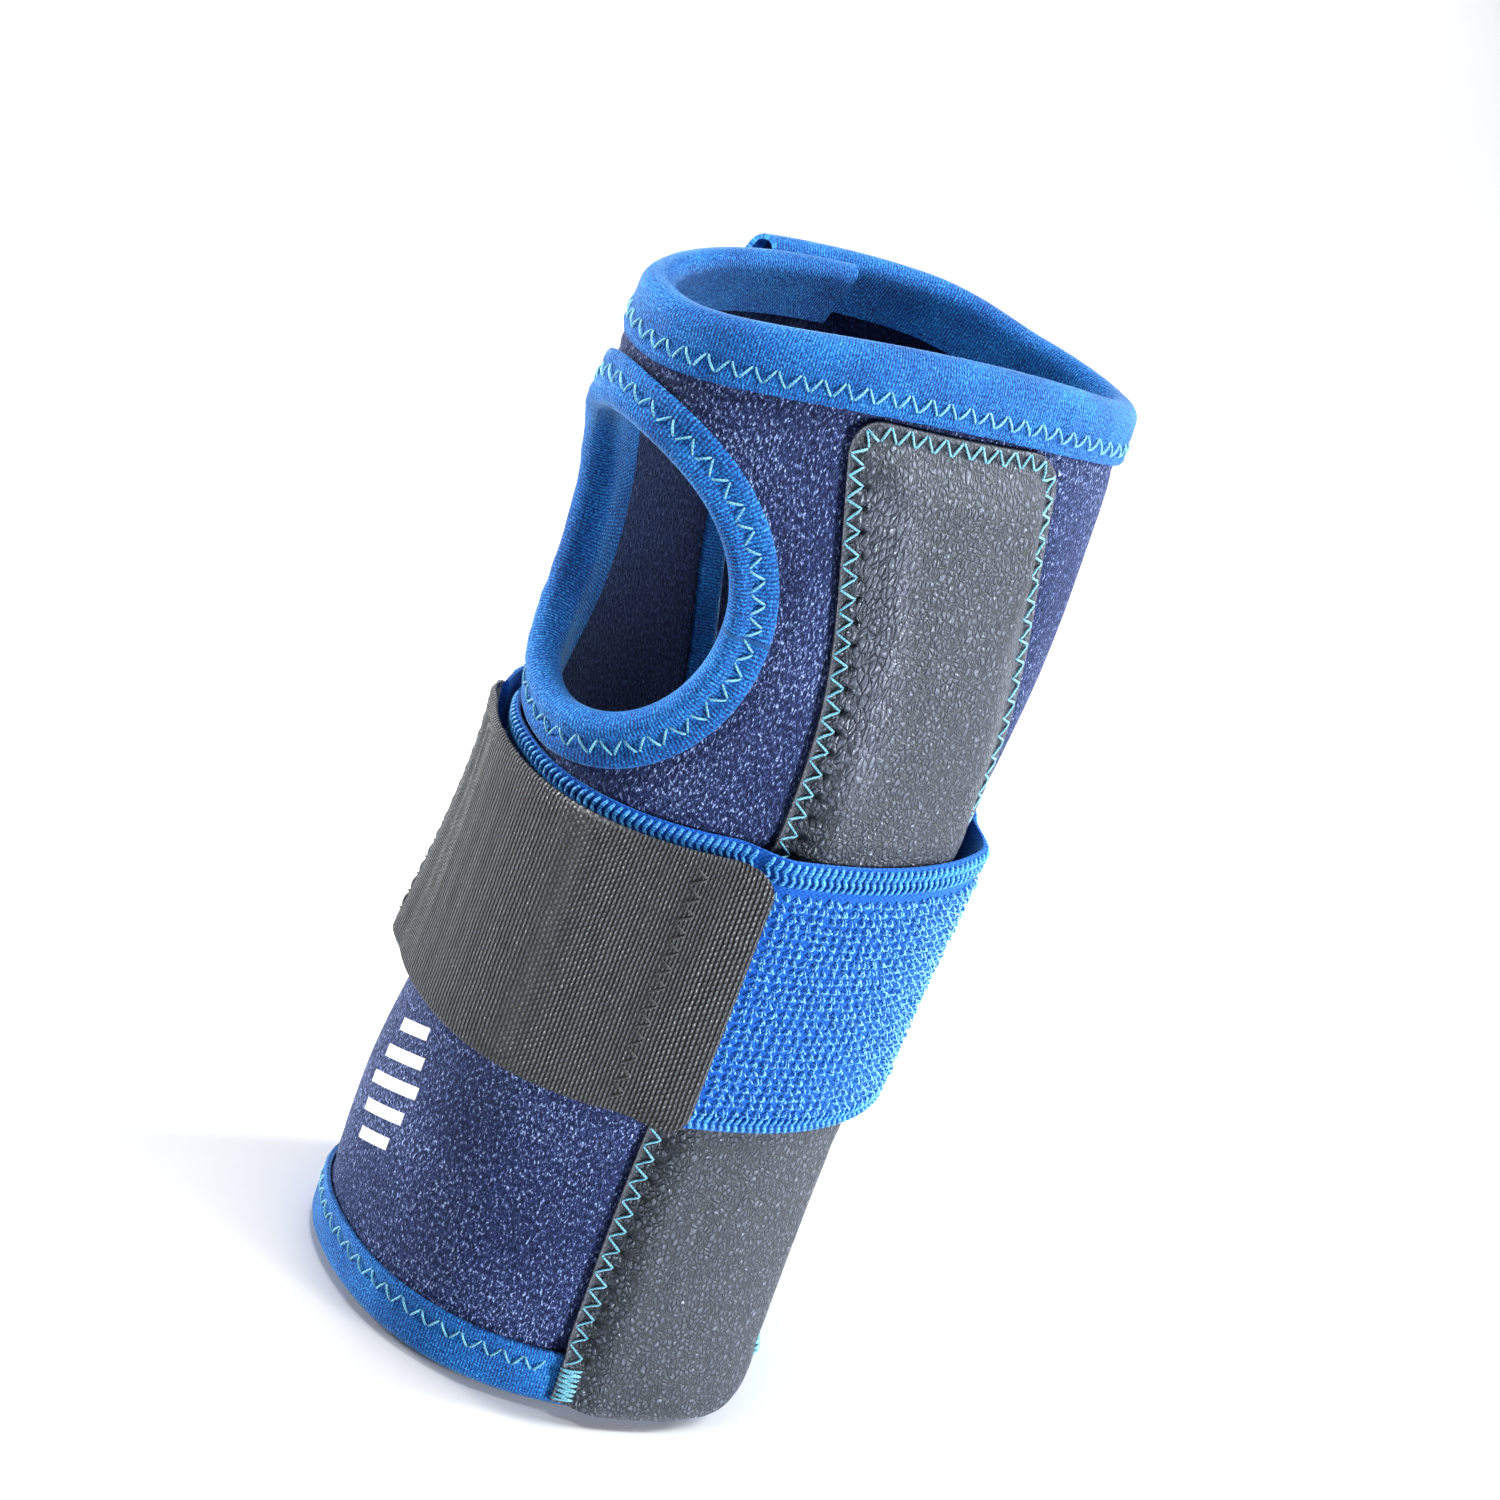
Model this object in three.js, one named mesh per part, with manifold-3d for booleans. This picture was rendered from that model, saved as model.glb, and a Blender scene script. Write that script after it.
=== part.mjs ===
// Volar wrist splint for the left hand, standing on its forearm hem.
// Millimetres. +Z runs from the forearm to the hand, -Y is the palm side, -X the thumb side.
// Every sheet is a shell laid on one tapering, superelliptic tube whose palm line is a circular arc,
// so the metal stay can slide along that arc in its pocket.
import * as THREE from "three";
import { mergeVertices } from "three/addons/utils/BufferGeometryUtils.js";
import Module from "manifold-3d";

// ---------- driving dimensions ----------
const SHIFT_X = 1.121, SHIFT_Y = -10.7873;                         // centres the whole part over the origin
const Z_KEYS = [0, 32, 66, 100, 130, 160, 190];         // stations along the arm
const HALF_WIDTH = [38.4, 39.3, 37.3, 39.0, 44.2, 46.0, 44.0];
const HALF_DEPTH = [33.3, 32.1, 29.2, 26.7, 26.2, 25.2, 21.6];
const CENTRE_X = [3.6, 0.3, -1.2, -1.1, -0.7, -0.9, 0.0];
const ROUNDNESS = 2.25;                                 // superellipse exponent of the section
const ARC_RADIUS = 697, ARC_Z = -10.5, PALM_Y = -26;    // palm line of the tube
const NEOPRENE = 3.0, FLAP_LIFT = 2.7;
const HEM_LOW = 10.5, HEM_HIGH = 10.0, BIND = 0.75, BIND_GAP = 0.35;
const HOLE_Z = 138, HOLE_S = -52.7, HOLE_RS = 24.1, HOLE_RZ_LOW = 23.7, HOLE_RZ_HIGH = 21.5, HOLE_BIND = 8.6, HOLE_GAP = 0.6;
const SEAM_THUMB = [-10.9, -10.7, -10.1, -7.9, -8.0, -14.6, -22.5];   // pocket edges, girth from the palm line
const SEAM_LITTLE = [34.6, 34.9, 35.9, 36.0, 33.2, 26.0, 20.5];
const POCKET_Z = [2.2, 175.8], POCKET_ROUND = 6.5, POCKET_SKIN = 1.2, POCKET_RISE = 4.4;
const STAY_X = [-3, 19], STAY_Z = [4, 172], STAY_OFF = [1.45, 2.75], STAY_CLEAR = 0.3, STAY_ROUND = 9;
const STRAP_Z = [59.2, 107.2], STRAP_TILT = 2.6, STRAP_T = 1.7, STRAP_START = -74;
const TAB_END = -7.6, TAB_DROP = 1.8, TAB_T = 1.3, HOOK_T = 1.0;
const SPLIT_DEG = 120, FOLD_GAP = [0.4, 2.6];                                   // fold line of the dorsal flap and of the strap
const UNDERLAP_S = -112.5, FLAP_EDGE = [-88, -88, -88, -88.5, -90.5, -91, -91];
const TAB_HINGE_PAST = 1.6;                              // strap runs this far past the flap edge before the tab starts

// ---------- small maths ----------
function spline(xs, ys) {                               // natural cubic through the stations
  const n = xs.length, h = [], al = new Array(n).fill(0), l = [1], mu = [0], zz = [0], c = new Array(n).fill(0), b = [], d = [];
  for (let i = 0; i < n - 1; i++) h[i] = xs[i + 1] - xs[i];
  for (let i = 1; i < n - 1; i++) al[i] = 3 * (ys[i + 1] - ys[i]) / h[i] - 3 * (ys[i] - ys[i - 1]) / h[i - 1];
  for (let i = 1; i < n - 1; i++) { l[i] = 2 * (xs[i + 1] - xs[i - 1]) - h[i - 1] * mu[i - 1]; mu[i] = h[i] / l[i]; zz[i] = (al[i] - h[i - 1] * zz[i - 1]) / l[i]; }
  for (let j = n - 2; j >= 0; j--) { c[j] = zz[j] - mu[j] * c[j + 1]; b[j] = (ys[j + 1] - ys[j]) / h[j] - h[j] * (c[j + 1] + 2 * c[j]) / 3; d[j] = (c[j + 1] - c[j]) / (3 * h[j]); }
  return x => {
    let j = 0; while (j < n - 2 && x > xs[j + 1]) j++;
    const t = x - xs[j];
    return ys[j] + b[j] * t + c[j] * t * t + d[j] * t * t * t;
  };
}
const smooth = t => { t = Math.min(1, Math.max(0, t)); return t * t * (3 - 2 * t); };
const lerp = (a, b, t) => a + (b - a) * t;
const fA = spline(Z_KEYS, HALF_WIDTH), fB = spline(Z_KEYS, HALF_DEPTH), fC = spline(Z_KEYS, CENTRE_X);
const fSeamT = spline(Z_KEYS, SEAM_THUMB), fSeamL = spline(Z_KEYS, SEAM_LITTLE), fFlap = spline(Z_KEYS, FLAP_EDGE);
const palmY = z => PALM_Y + ARC_RADIUS - Math.sqrt(ARC_RADIUS ** 2 - (z - ARC_Z) ** 2);
const handHem = phi => 182.25 + 2.5 * Math.cos(phi) + 2.25 * Math.cos(2 * phi);

// ---------- the tube ----------
// phi: 0 palm, +90 degrees little-finger side, 180 back of the hand, 270 (or -90) thumb side
function at(phi, z, off) {
  const s = Math.sin(phi), c = Math.cos(phi), p = 2 / ROUNDNESS;
  const X = Math.sign(s) * Math.abs(s) ** p, Y = -Math.sign(c) * Math.abs(c) ** p;
  const A = fA(z), B = fB(z);
  return [fC(z) + (A + off) * X + SHIFT_X, palmY(z) + B + (B + off) * Y + SHIFT_Y, z];
}
const tables = new Map();
function girthTable(z) {                                // girth from the palm line against phi, at this height
  const key = Math.round(z * 200);
  if (tables.has(key)) return tables.get(key);
  const N = 180, T = [0], zq = key / 200; let q = at(0, zq, 0);
  for (let i = 1; i <= N; i++) { const p = at(Math.PI * i / N, zq, 0); T.push(T[i - 1] + Math.hypot(p[0] - q[0], p[1] - q[1])); q = p; }
  tables.set(key, T); return T;
}
const half = z => girthTable(z)[180];
function phiOf(s, z) {
  const T = girthTable(z), H = T[180];
  if (s > H) return 2 * Math.PI + phiOf(s - 2 * H, z);
  if (s < -H) return -2 * Math.PI + phiOf(s + 2 * H, z);
  const a = Math.abs(s); let i = 0; while (i < 179 && T[i + 1] < a) i++;
  return Math.sign(s) * Math.PI * (i + (a - T[i]) / (T[i + 1] - T[i])) / 180;
}
function girthAt(phi, z) {                              // inverse of phiOf, phi from 0 to 2 pi
  const T = girthTable(z), H = T[180];
  if (phi > Math.PI) return 2 * H - girthAt(2 * Math.PI - phi, z);
  const f = phi / Math.PI * 180, i = Math.min(179, Math.floor(f));
  return lerp(T[i], T[i + 1], f - i);
}
const SPLIT = SPLIT_DEG * Math.PI / 180;
const splitS = z => girthAt(SPLIT, z);
const foldGap = z => FOLD_GAP[0] + (FOLD_GAP[1] - FOLD_GAP[0]) * ((z - 90) / 90) ** 2;   // the fold opens out where the tube flares

// ---------- how far each layer stands off the tube ----------
const pocketSeam = (z, side) => {                       // pocket outline with rounded corners at both ends
  const r = POCKET_ROUND, e = Math.max(0, z - (POCKET_Z[1] - r), side > 0 ? POCKET_Z[0] + r - z : 0);
  const cut = r - Math.sqrt(Math.max(0, r * r - Math.min(e, r) ** 2));
  return side < 0 ? fSeamT(z) + cut : fSeamL(z) - cut;
};
const pocketIn = (s, z) => (z < 11.2 ? BIND_GAP + BIND + 0.35 : 0.35);
function pocketOut(s, z) {
  const d = Math.min(s - pocketSeam(z, -1), pocketSeam(z, 1) - s, POCKET_Z[1] - z);
  return Math.max(pocketIn(s, z) + POCKET_SKIN, lerp(POCKET_SKIN + 0.35, POCKET_RISE + (z < 30 ? (30 - z) / 100 : 0), smooth(d / 6)));
}
const pocketBulge = (s, z) => POCKET_RISE * smooth((s - fSeamT(z) + 7) / 10) * smooth((fSeamL(z) + 7 - s) / 10);
const flapIn = phi => lerp(-NEOPRENE, FLAP_LIFT, smooth((phi - 2.2) / 0.6));
const flapOut = phi => flapIn(phi) + NEOPRENE;
const turnIn = (s, z) => 0.5 + pocketBulge(s, z);
const turnOut = (s, z) => turnIn(s, z) + STRAP_T;
function dorsalIn(s, phi, z) {                          // strap over the flap, then over the flap edge binding
  const past = smooth((phi - 3.0) / 0.4);
  return flapOut(phi) + 0.45 + past * (BIND + 0.45);
}
const tabStart = z => fFlap(z) + TAB_HINGE_PAST + 0.4;
function tabIn(s, z) {                                  // grey face: down from over the flap edge, then over strap and hook
  const far = flapOut(4.2) + 0.9 + BIND, near = turnOut(s, z) + 0.8 + HOOK_T;
  return lerp(far, near, smooth((s - tabStart(z)) / 13));
}

// ---------- solids ----------
function closed(verts, tris) {
  const g = new THREE.BufferGeometry();
  g.setAttribute("position", new THREE.BufferAttribute(new Float32Array(verts.flat()), 3));
  g.setIndex(tris);
  return g;
}
function volume(g) {
  const p = g.attributes.position, ix = g.index.array; let v = 0;
  const a = new THREE.Vector3(), b = new THREE.Vector3(), c = new THREE.Vector3();
  for (let i = 0; i < ix.length; i += 3) { a.fromBufferAttribute(p, ix[i]); b.fromBufferAttribute(p, ix[i + 1]); c.fromBufferAttribute(p, ix[i + 2]); v += a.dot(b.cross(c)); }
  return v / 6;
}
function outward(g) {
  if (volume(g) < 0) { const ix = g.index.array; for (let i = 0; i < ix.length; i += 3) { const t = ix[i]; ix[i] = ix[i + 1]; ix[i + 1] = t; } }
  return g;
}
// a sheet: rows x columns on an inner and an outer face, closed all round its edge
function sheet(rows, cols, fn) {
  const R = rows.length, C = cols.length, V = [], T = [];
  for (let k = 0; k < 2; k++) for (const r of rows) for (const c of cols) V.push(fn(r, c, k));
  const id = (k, r, c) => k * R * C + r * C + c;
  const quad = (a, b, c, d) => T.push(a, b, c, a, c, d);
  for (let r = 0; r < R - 1; r++) for (let c = 0; c < C - 1; c++) {
    quad(id(1, r, c), id(1, r, c + 1), id(1, r + 1, c + 1), id(1, r + 1, c));
    quad(id(0, r, c), id(0, r + 1, c), id(0, r + 1, c + 1), id(0, r, c + 1));
  }
  for (let r = 0; r < R - 1; r++) {
    quad(id(0, r, 0), id(1, r, 0), id(1, r + 1, 0), id(0, r + 1, 0));
    quad(id(1, r, C - 1), id(0, r, C - 1), id(0, r + 1, C - 1), id(1, r + 1, C - 1));
  }
  for (let c = 0; c < C - 1; c++) {
    quad(id(1, 0, c), id(0, 0, c), id(0, 0, c + 1), id(1, 0, c + 1));
    quad(id(0, R - 1, c), id(1, R - 1, c), id(1, R - 1, c + 1), id(0, R - 1, c + 1));
  }
  return outward(closed(V, T));
}
// a section of n points swept through m stations, either ended flat or closed into a ring
function sweep(stations, section, ring, cap) {
  const V = [], T = [], n = section(stations[0]).length, m = stations.length;
  for (const t of stations) V.push(...section(t));
  const L = ring ? m : m - 1;
  for (let i = 0; i < L; i++) for (let j = 0; j < n; j++) {
    const a = i * n + j, b = i * n + (j + 1) % n, c = ((i + 1) % m) * n + (j + 1) % n, d = ((i + 1) % m) * n + j;
    T.push(a, b, c, a, c, d);
  }
  if (!ring) for (const [i, flip] of [[0, true], [m - 1, false]]) for (const [a, b, c] of cap)
    flip ? T.push(i * n + a, i * n + c, i * n + b) : T.push(i * n + a, i * n + b, i * n + c);
  return outward(closed(V, T));
}
const steps = (a, b, step) => { const n = Math.max(1, Math.round(Math.abs(b - a) / step)); return Array.from({ length: n + 1 }, (_, i) => lerp(a, b, i / n)); };
const unit = n => Array.from({ length: n + 1 }, (_, i) => i / n);

const wasm = await Module(); wasm.setup();
function solid(g) {
  const m = g.clone(); m.deleteAttribute("normal"); m.deleteAttribute("uv");
  const q = mergeVertices(m, 1e-4);
  return new wasm.Manifold(new wasm.Mesh({ numProp: 3, vertProperties: new Float32Array(q.attributes.position.array), triVerts: new Uint32Array(q.index.array) }));
}
function toGeometry(man) {
  const m = man.getMesh(), g = new THREE.BufferGeometry();
  g.setAttribute("position", new THREE.BufferAttribute(new Float32Array(m.vertProperties), 3));
  g.setIndex(Array.from(m.triVerts));
  return g;
}
const cut = (g, ...tools) => toGeometry(tools.reduce((s, t) => s.subtract(t), solid(g)));

// U-shaped edge binding: section across the edge, from the free edge (0) to its stitched width
function uSection(width, lo, hi, place, g = BIND_GAP, n = 1) {
  const t = BIND, e = 0.9, P = [];
  for (let i = 0; i <= n; i++) P.push([lerp(0, width, i / n), hi + g + t]);
  for (let i = n; i >= 0; i--) P.push([lerp(e + 0.35, width, i / n), hi + g]);
  for (let i = 0; i <= n; i++) P.push([lerp(e + 0.35, width, i / n), lo - g]);
  for (let i = n; i >= 0; i--) P.push([lerp(0, width, i / n), lo - g - t]);
  return P.map(([d, o]) => place(d, o));
}
function uCap() {
  const n = 1, m = n + 1, C = [];
  const A = i => i, B = i => m + (n - i), D = i => 2 * m + i, E = i => 3 * m + (n - i);
  for (let i = 0; i < n; i++) { C.push([A(i), A(i + 1), B(i + 1)], [A(i), B(i + 1), B(i)]); C.push([D(i), D(i + 1), E(i + 1)], [D(i), E(i + 1), E(i)]); }
  C.push([A(0), B(0), D(0)], [A(0), D(0), E(0)]);
  return C;
}

// ---------- pieces ----------
const group = new THREE.Group();
const mat = (color, roughness, metalness = 0) => new THREE.MeshStandardMaterial({ color, roughness, metalness });
const NAVY = mat(0x2b3566, 0.85), BLUE = mat(0x1a55b8, 0.8), LEATHER = mat(0x474b52, 0.5), THREAD = mat(0x6fbcd6, 0.6);
const LOOP = mat(0x0e62c8, 0.9), GREY = mat(0x4a4c50, 0.7), HOOK = mat(0x303338, 0.6), ALU = mat(0xb8bcc2, 0.35, 1), LINER = mat(0x1d2440, 0.9);
function add(name, geometry, material) { const m = new THREE.Mesh(geometry, material); m.name = name; group.add(m); return m; }

const edgeIn = 1.8;                                     // sheets stop this far inside their bindings
const sheetZ = (w, phi) => lerp(edgeIn, handHem(phi) - edgeIn, w);
function shell(sa, sb, offIn, offOut, nRows, step) {    // full-height sheet between two girth lines
  const n = Math.round((sb(90) - sa(90)) / step);
  return sheet(unit(nRows), unit(n), (w, u, k) => {
    let z = lerp(edgeIn, 183, w), s = lerp(sa(z), sb(z), u), phi = phiOf(s, z);
    z = sheetZ(w, phi); s = lerp(sa(z), sb(z), u); phi = phiOf(s, z);
    return at(phi, z, k ? offOut(phi) : offIn(phi));
  });
}
const seamA = z => (fSeamT(z) + fSeamL(z)) / 2 - 15, seamB = z => (fSeamT(z) + fSeamL(z)) / 2 + 15;
const flat0 = () => 0, flatN = () => -NEOPRENE;

// thumb opening cut from the thumb-side panel
const holeRz = t => (Math.sin(t) > 0 ? HOLE_RZ_HIGH : HOLE_RZ_LOW);
const holeAt = (t, e, off) => {
  const z = HOLE_Z + (holeRz(t) + e) * Math.sin(t), s = HOLE_S + (HOLE_RS + e) * Math.cos(t);
  return at(phiOf(s, z), z, off);
};
const ring = n => Array.from({ length: n }, (_, i) => 2 * Math.PI * i / n);
function holePlug(e) {
  const n = 44, V = [], T = [];
  for (const off of [-9, 6]) { V.push(...ring(n).map(t => holeAt(t, e, off))); }
  const c0 = V.length; V.push(at(phiOf(HOLE_S, HOLE_Z), HOLE_Z, -9)); V.push(at(phiOf(HOLE_S, HOLE_Z), HOLE_Z, 6));
  for (let i = 0; i < n; i++) { const j = (i + 1) % n; T.push(i, j, n + j, i, n + j, n + i, c0, j, i, c0 + 1, n + i, n + j); }
  return solid(outward(closed(V, T)));
}
add("thumb_side_panel", cut(shell(() => UNDERLAP_S + edgeIn, z => seamA(z) - 0.15, flatN, flat0, 14, 4.6), holePlug(1.8)), NAVY);
add("palm_panel", shell(z => seamA(z) + 0.15, z => seamB(z) - 0.15, flatN, flat0, 13, 5), NAVY);
add("little_finger_side_panel", shell(z => seamB(z) + 0.15, z => splitS(z) - 0.3, flatN, flat0, 13, 5), NAVY);
add("thumb_hole_binding", sweep(ring(44), t => uSection(HOLE_BIND, -NEOPRENE, 0, (d, o) => holeAt(t, d, o), HOLE_GAP, 2), true), BLUE);

// stay: a metal strip bent to the palm arc, and the cavity that it slides in
const rise = x => 0.0075 * (x - 0.5) ** 2;
function arcStrip(x0, x1, z0, z1, o0, o1, round) {
  const th = z => (z - ARC_Z) / ARC_RADIUS, xm = (x0 + x1) / 2, hw = (x1 - x0) / 2;
  return sheet(unit(14), unit(6), (w, u, k) => {
    const x = lerp(x0, x1, u), e = Math.max(0, Math.abs(x - xm) - (hw - round));
    const trim = round > 0 ? round - Math.sqrt(Math.max(0, round * round - e * e)) : 0;
    const a = lerp(th(z0 + trim), th(z1 - trim), w), rho = ARC_RADIUS - rise(x) + (k ? o1 : o0);
    return [x + SHIFT_X, PALM_Y + ARC_RADIUS - rho * Math.cos(a) + SHIFT_Y, ARC_Z + rho * Math.sin(a)];
  });
}
const stay = arcStrip(STAY_X[0], STAY_X[1], STAY_Z[0], STAY_Z[1], STAY_OFF[0], STAY_OFF[1], STAY_ROUND);
const cavity = solid(arcStrip(STAY_X[0] - STAY_CLEAR, STAY_X[1] + STAY_CLEAR, -14, STAY_Z[1] + 1.2, -1, STAY_OFF[1] + STAY_CLEAR, 0));
add("palmar_stay", stay, ALU);

// leatherette pocket cover over the stay, open at the forearm end
const pocketRows = [2.2, 3.6, 6, 8.7, 10.9, 11.5, 22, 36, 50, 64, 78, 92, 106, 120, 134, 148, 160, 169.3, 172.5, 174.8, 175.8];
add("stay_pocket_cover", cut(sheet(pocketRows, unit(13), (z, u, k) => {
  const s = lerp(pocketSeam(z, -1), pocketSeam(z, 1), u);
  return at(phiOf(s, z), z, k ? pocketOut(s, z) : pocketIn(s, z));
}), cavity), LEATHER);

// hem bindings of the fixed sheets, the lower one relieved where the stay passes over it
const hemBind = (sa, sb, low, offs, step) => {
  const width = low ? HEM_LOW : HEM_HIGH, zn = low ? 5 : 178;
  return sweep(steps(sa(zn), sb(zn), step), q => {
    const u = (q - sa(zn)) / (sb(zn) - sa(zn));
    const phi0 = phiOf(q, zn), [lo, hi] = offs(phi0), edge = low ? 0 : handHem(phi0);
    return uSection(width, lo, hi, (d, o) => { const z = low ? edge + d : edge - d; return at(phiOf(lerp(sa(z), sb(z), u), z), z, o); });
  }, false, uCap());
};
const fixedOffs = () => [-NEOPRENE, 0], flapOffs = phi => [flapIn(phi), flapOut(phi)];
const fixedA = () => UNDERLAP_S, fixedB = z => splitS(z) - 0.3;
const flapA = z => splitS(z) + foldGap(z), flapB = z => 2 * half(z) + fFlap(z);
const stayPath = solid(arcStrip(STAY_X[0] - STAY_CLEAR, STAY_X[1] + STAY_CLEAR, -14, 16, STAY_OFF[0] - STAY_CLEAR, 6, 0));
add("forearm_hem_binding", cut(hemBind(fixedA, fixedB, true, fixedOffs, 4.6), stayPath), BLUE);
add("hand_hem_binding", hemBind(fixedA, fixedB, false, fixedOffs, 4.6), BLUE);

// upright edge bindings run between the hem bindings
const edgeBind = (sEdge, dir, offs) => sweep(steps(HEM_LOW + 0.5, 168, 11), z => {
  const s0 = sEdge(z), [lo, hi] = offs(phiOf(s0, z));
  return uSection(6, lo, hi, (d, o) => at(phiOf(s0 + dir * d, z), z, o));
}, false, uCap());
add("underlap_edge_binding", edgeBind(() => UNDERLAP_S, 1, fixedOffs), BLUE);

// dorsal flap
add("dorsal_flap_panel", shell(z => splitS(z) + foldGap(z), z => 2 * half(z) + fFlap(z) - edgeIn, flapIn, flapOut, 13, 5), NAVY);
add("flap_forearm_hem_binding", hemBind(flapA, flapB, true, flapOffs, 4.6), BLUE);
add("flap_hand_hem_binding", hemBind(flapA, flapB, false, flapOffs, 4.6), BLUE);
add("flap_edge_binding", edgeBind(z => 2 * half(z) + fFlap(z), -1, flapOffs), BLUE);
add("flap_hook_strip", sheet(steps(14, 166, 11), unit(3), (z, u, k) => {
  const s = fFlap(z) - 6.8 - 8 * u; return at(phiOf(s, z), z, k ? 2.3 : 0.5);
}), HOOK);

// strap: first turn sewn on at the thumb side, dorsal turn, grey tab with its hook patch
const strapZ = (w, phi, drop = 0) => lerp(STRAP_Z[0], STRAP_Z[1] - drop, w) + STRAP_TILT * Math.sin(phi);
function band(sa, sb, inn, out, drop = 0, inset = 0, step = 5, rows = 4) {
  const n = Math.round((sb(83) - sa(83)) / step);
  return sheet(unit(rows), unit(n), (w, u, k) => {
    let z = lerp(STRAP_Z[0], STRAP_Z[1], w), s = lerp(sa(z), sb(z), u), phi = phiOf(s, z);
    z = strapZ(w, phi, drop); z += inset * (1 - 2 * w); s = lerp(sa(z), sb(z), u); phi = phiOf(s, z);
    return at(phi, z, k ? out(s, z, phi) : inn(s, z, phi));
  });
}
add("strap_palm_turn", band(() => STRAP_START, z => splitS(z) - 0.4, turnIn, turnOut), LOOP);
add("strap_back_turn", band(z => splitS(z) + 0.4, z => 2 * half(z) + fFlap(z) + TAB_HINGE_PAST, (s, z, phi) => dorsalIn(s, phi, z), (s, z, phi) => dorsalIn(s, phi, z) + STRAP_T), LOOP);
add("strap_tab_face", band(tabStart, () => TAB_END, tabIn, (s, z) => tabIn(s, z) + TAB_T, TAB_DROP), GREY);
add("strap_hook_patch", band(() => -60, () => TAB_END - 1.6, (s, z) => turnOut(s, z) + 0.3, (s, z) => turnOut(s, z) + 0.3 + HOOK_T, TAB_DROP, 1.2), HOOK);

// stitch lines, each a flat cord of thread standing on what it holds
const onPath = (pts, width, off, t = 0.35) => sheet(pts.map((_, i) => i), [0, 1], (i, u, k) => {
  const a = pts[Math.max(0, i - 1)], b = pts[Math.min(pts.length - 1, i + 1)], L = Math.hypot(b[0] - a[0], b[1] - a[1]);
  const nx = -(b[1] - a[1]) / L, nz = (b[0] - a[0]) / L, q = (u - 0.5) * width;
  const s = pts[i][0] + nx * q, z = pts[i][1] + nz * q;
  return at(phiOf(s, z), z, off(s, z) + (k ? t : 0));
});
const stand = 0.3;
for (const [name, side] of [["pocket_stitch_thumb_side", -1], ["pocket_stitch_little_finger_side", 1]])
  add(name, onPath(steps(16, 166, 6).map(z => [pocketSeam(z, side) - side * 1.9, z]), 2.8, (s, z) => pocketOut(s, z) + stand), THREAD);
for (const [name, side] of [["pocket_bartack_thumb_side", -1], ["pocket_bartack_little_finger_side", 1]]) {
  const z0 = side < 0 ? 3.5 : 9.5;
  add(name, onPath([0, 0.5, 1].map(w => [pocketSeam(z0 + 6 * w, side) - side * 2.2, z0 + 6 * w]), 3.4, (s, z) => Math.max(pocketOut(s, z), pocketIn(s, 5) + POCKET_SKIN + 0.5) + stand, 0.5), THREAD);
}
add("thumb_hole_stitch", sweep(ring(44), t => [[3.2, 0], [6.4, 0], [6.4, 0.35], [3.2, 0.35]].map(([d, o]) => holeAt(t, d, HOLE_GAP + BIND + stand + o)), true), THREAD);
const hemStitch = (sa, sb, low, offs, d) => sheet([0, 1], steps(sa, sb, 4.2), (w, s, k) => {
  const zn = low ? d : 178, phi = phiOf(s, zn), z = low ? d - 1.4 + 2.8 * w : handHem(phi) - d - 1.4 + 2.8 * w;
  return at(phiOf(s, z), z, offs(phiOf(s, z))[1] + BIND_GAP + BIND + stand + k * 0.35);
});
add("forearm_hem_stitch", hemStitch(-80, -14, true, fixedOffs, 7.6), THREAD);
add("forearm_hem_stitch_little_finger_side", hemStitch(38, 72, true, fixedOffs, 7.6), THREAD);
add("hand_hem_stitch", hemStitch(-84, 64, false, fixedOffs, 7.2), THREAD);

export default group;
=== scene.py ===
"""Volar wrist splint, left hand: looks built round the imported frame. Inner maths in millimetres, meshes in metres."""
import math

import bpy
import numpy as np
from mathutils import Matrix, Vector


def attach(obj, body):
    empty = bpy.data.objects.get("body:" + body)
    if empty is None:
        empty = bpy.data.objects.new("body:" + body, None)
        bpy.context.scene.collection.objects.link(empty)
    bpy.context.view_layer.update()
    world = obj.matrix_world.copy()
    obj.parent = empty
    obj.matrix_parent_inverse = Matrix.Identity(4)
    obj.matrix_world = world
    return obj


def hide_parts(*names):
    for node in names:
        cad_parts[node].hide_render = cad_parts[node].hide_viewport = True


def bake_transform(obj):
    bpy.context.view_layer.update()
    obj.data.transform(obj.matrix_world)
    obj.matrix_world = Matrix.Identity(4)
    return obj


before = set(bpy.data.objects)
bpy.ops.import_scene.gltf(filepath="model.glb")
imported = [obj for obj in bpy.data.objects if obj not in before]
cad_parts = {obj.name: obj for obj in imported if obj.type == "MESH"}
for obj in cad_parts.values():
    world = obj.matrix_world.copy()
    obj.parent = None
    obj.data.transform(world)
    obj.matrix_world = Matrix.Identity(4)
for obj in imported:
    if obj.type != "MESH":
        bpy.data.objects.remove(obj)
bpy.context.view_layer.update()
pi = math.pi

# ---------------------------------------------------------------- driving dimensions, as in the CAD source
SHIFT_X, SHIFT_Y = 1.121, -10.7873
Z_KEYS = [0, 32, 66, 100, 130, 160, 190]
HALF_WIDTH = [38.4, 39.3, 37.3, 39.0, 44.2, 46.0, 44.0]
HALF_DEPTH = [33.3, 32.1, 29.2, 26.7, 26.2, 25.2, 21.6]
CENTRE_X = [3.6, 0.3, -1.2, -1.1, -0.7, -0.9, 0.0]
ROUNDNESS = 2.25
ARC_RADIUS, ARC_Z, PALM_Y = 697.0, -10.5, -26.0
NEOPRENE, FLAP_LIFT = 3.0, 2.7
HEM_LOW, HEM_HIGH, BIND, BIND_GAP = 10.5, 10.0, 0.75, 0.35
HOLE_Z, HOLE_S, HOLE_RS, HOLE_RZ_LOW, HOLE_RZ_HIGH, HOLE_BIND, HOLE_GAP = 138, -52.7, 24.1, 23.7, 21.5, 8.6, 0.6
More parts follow.
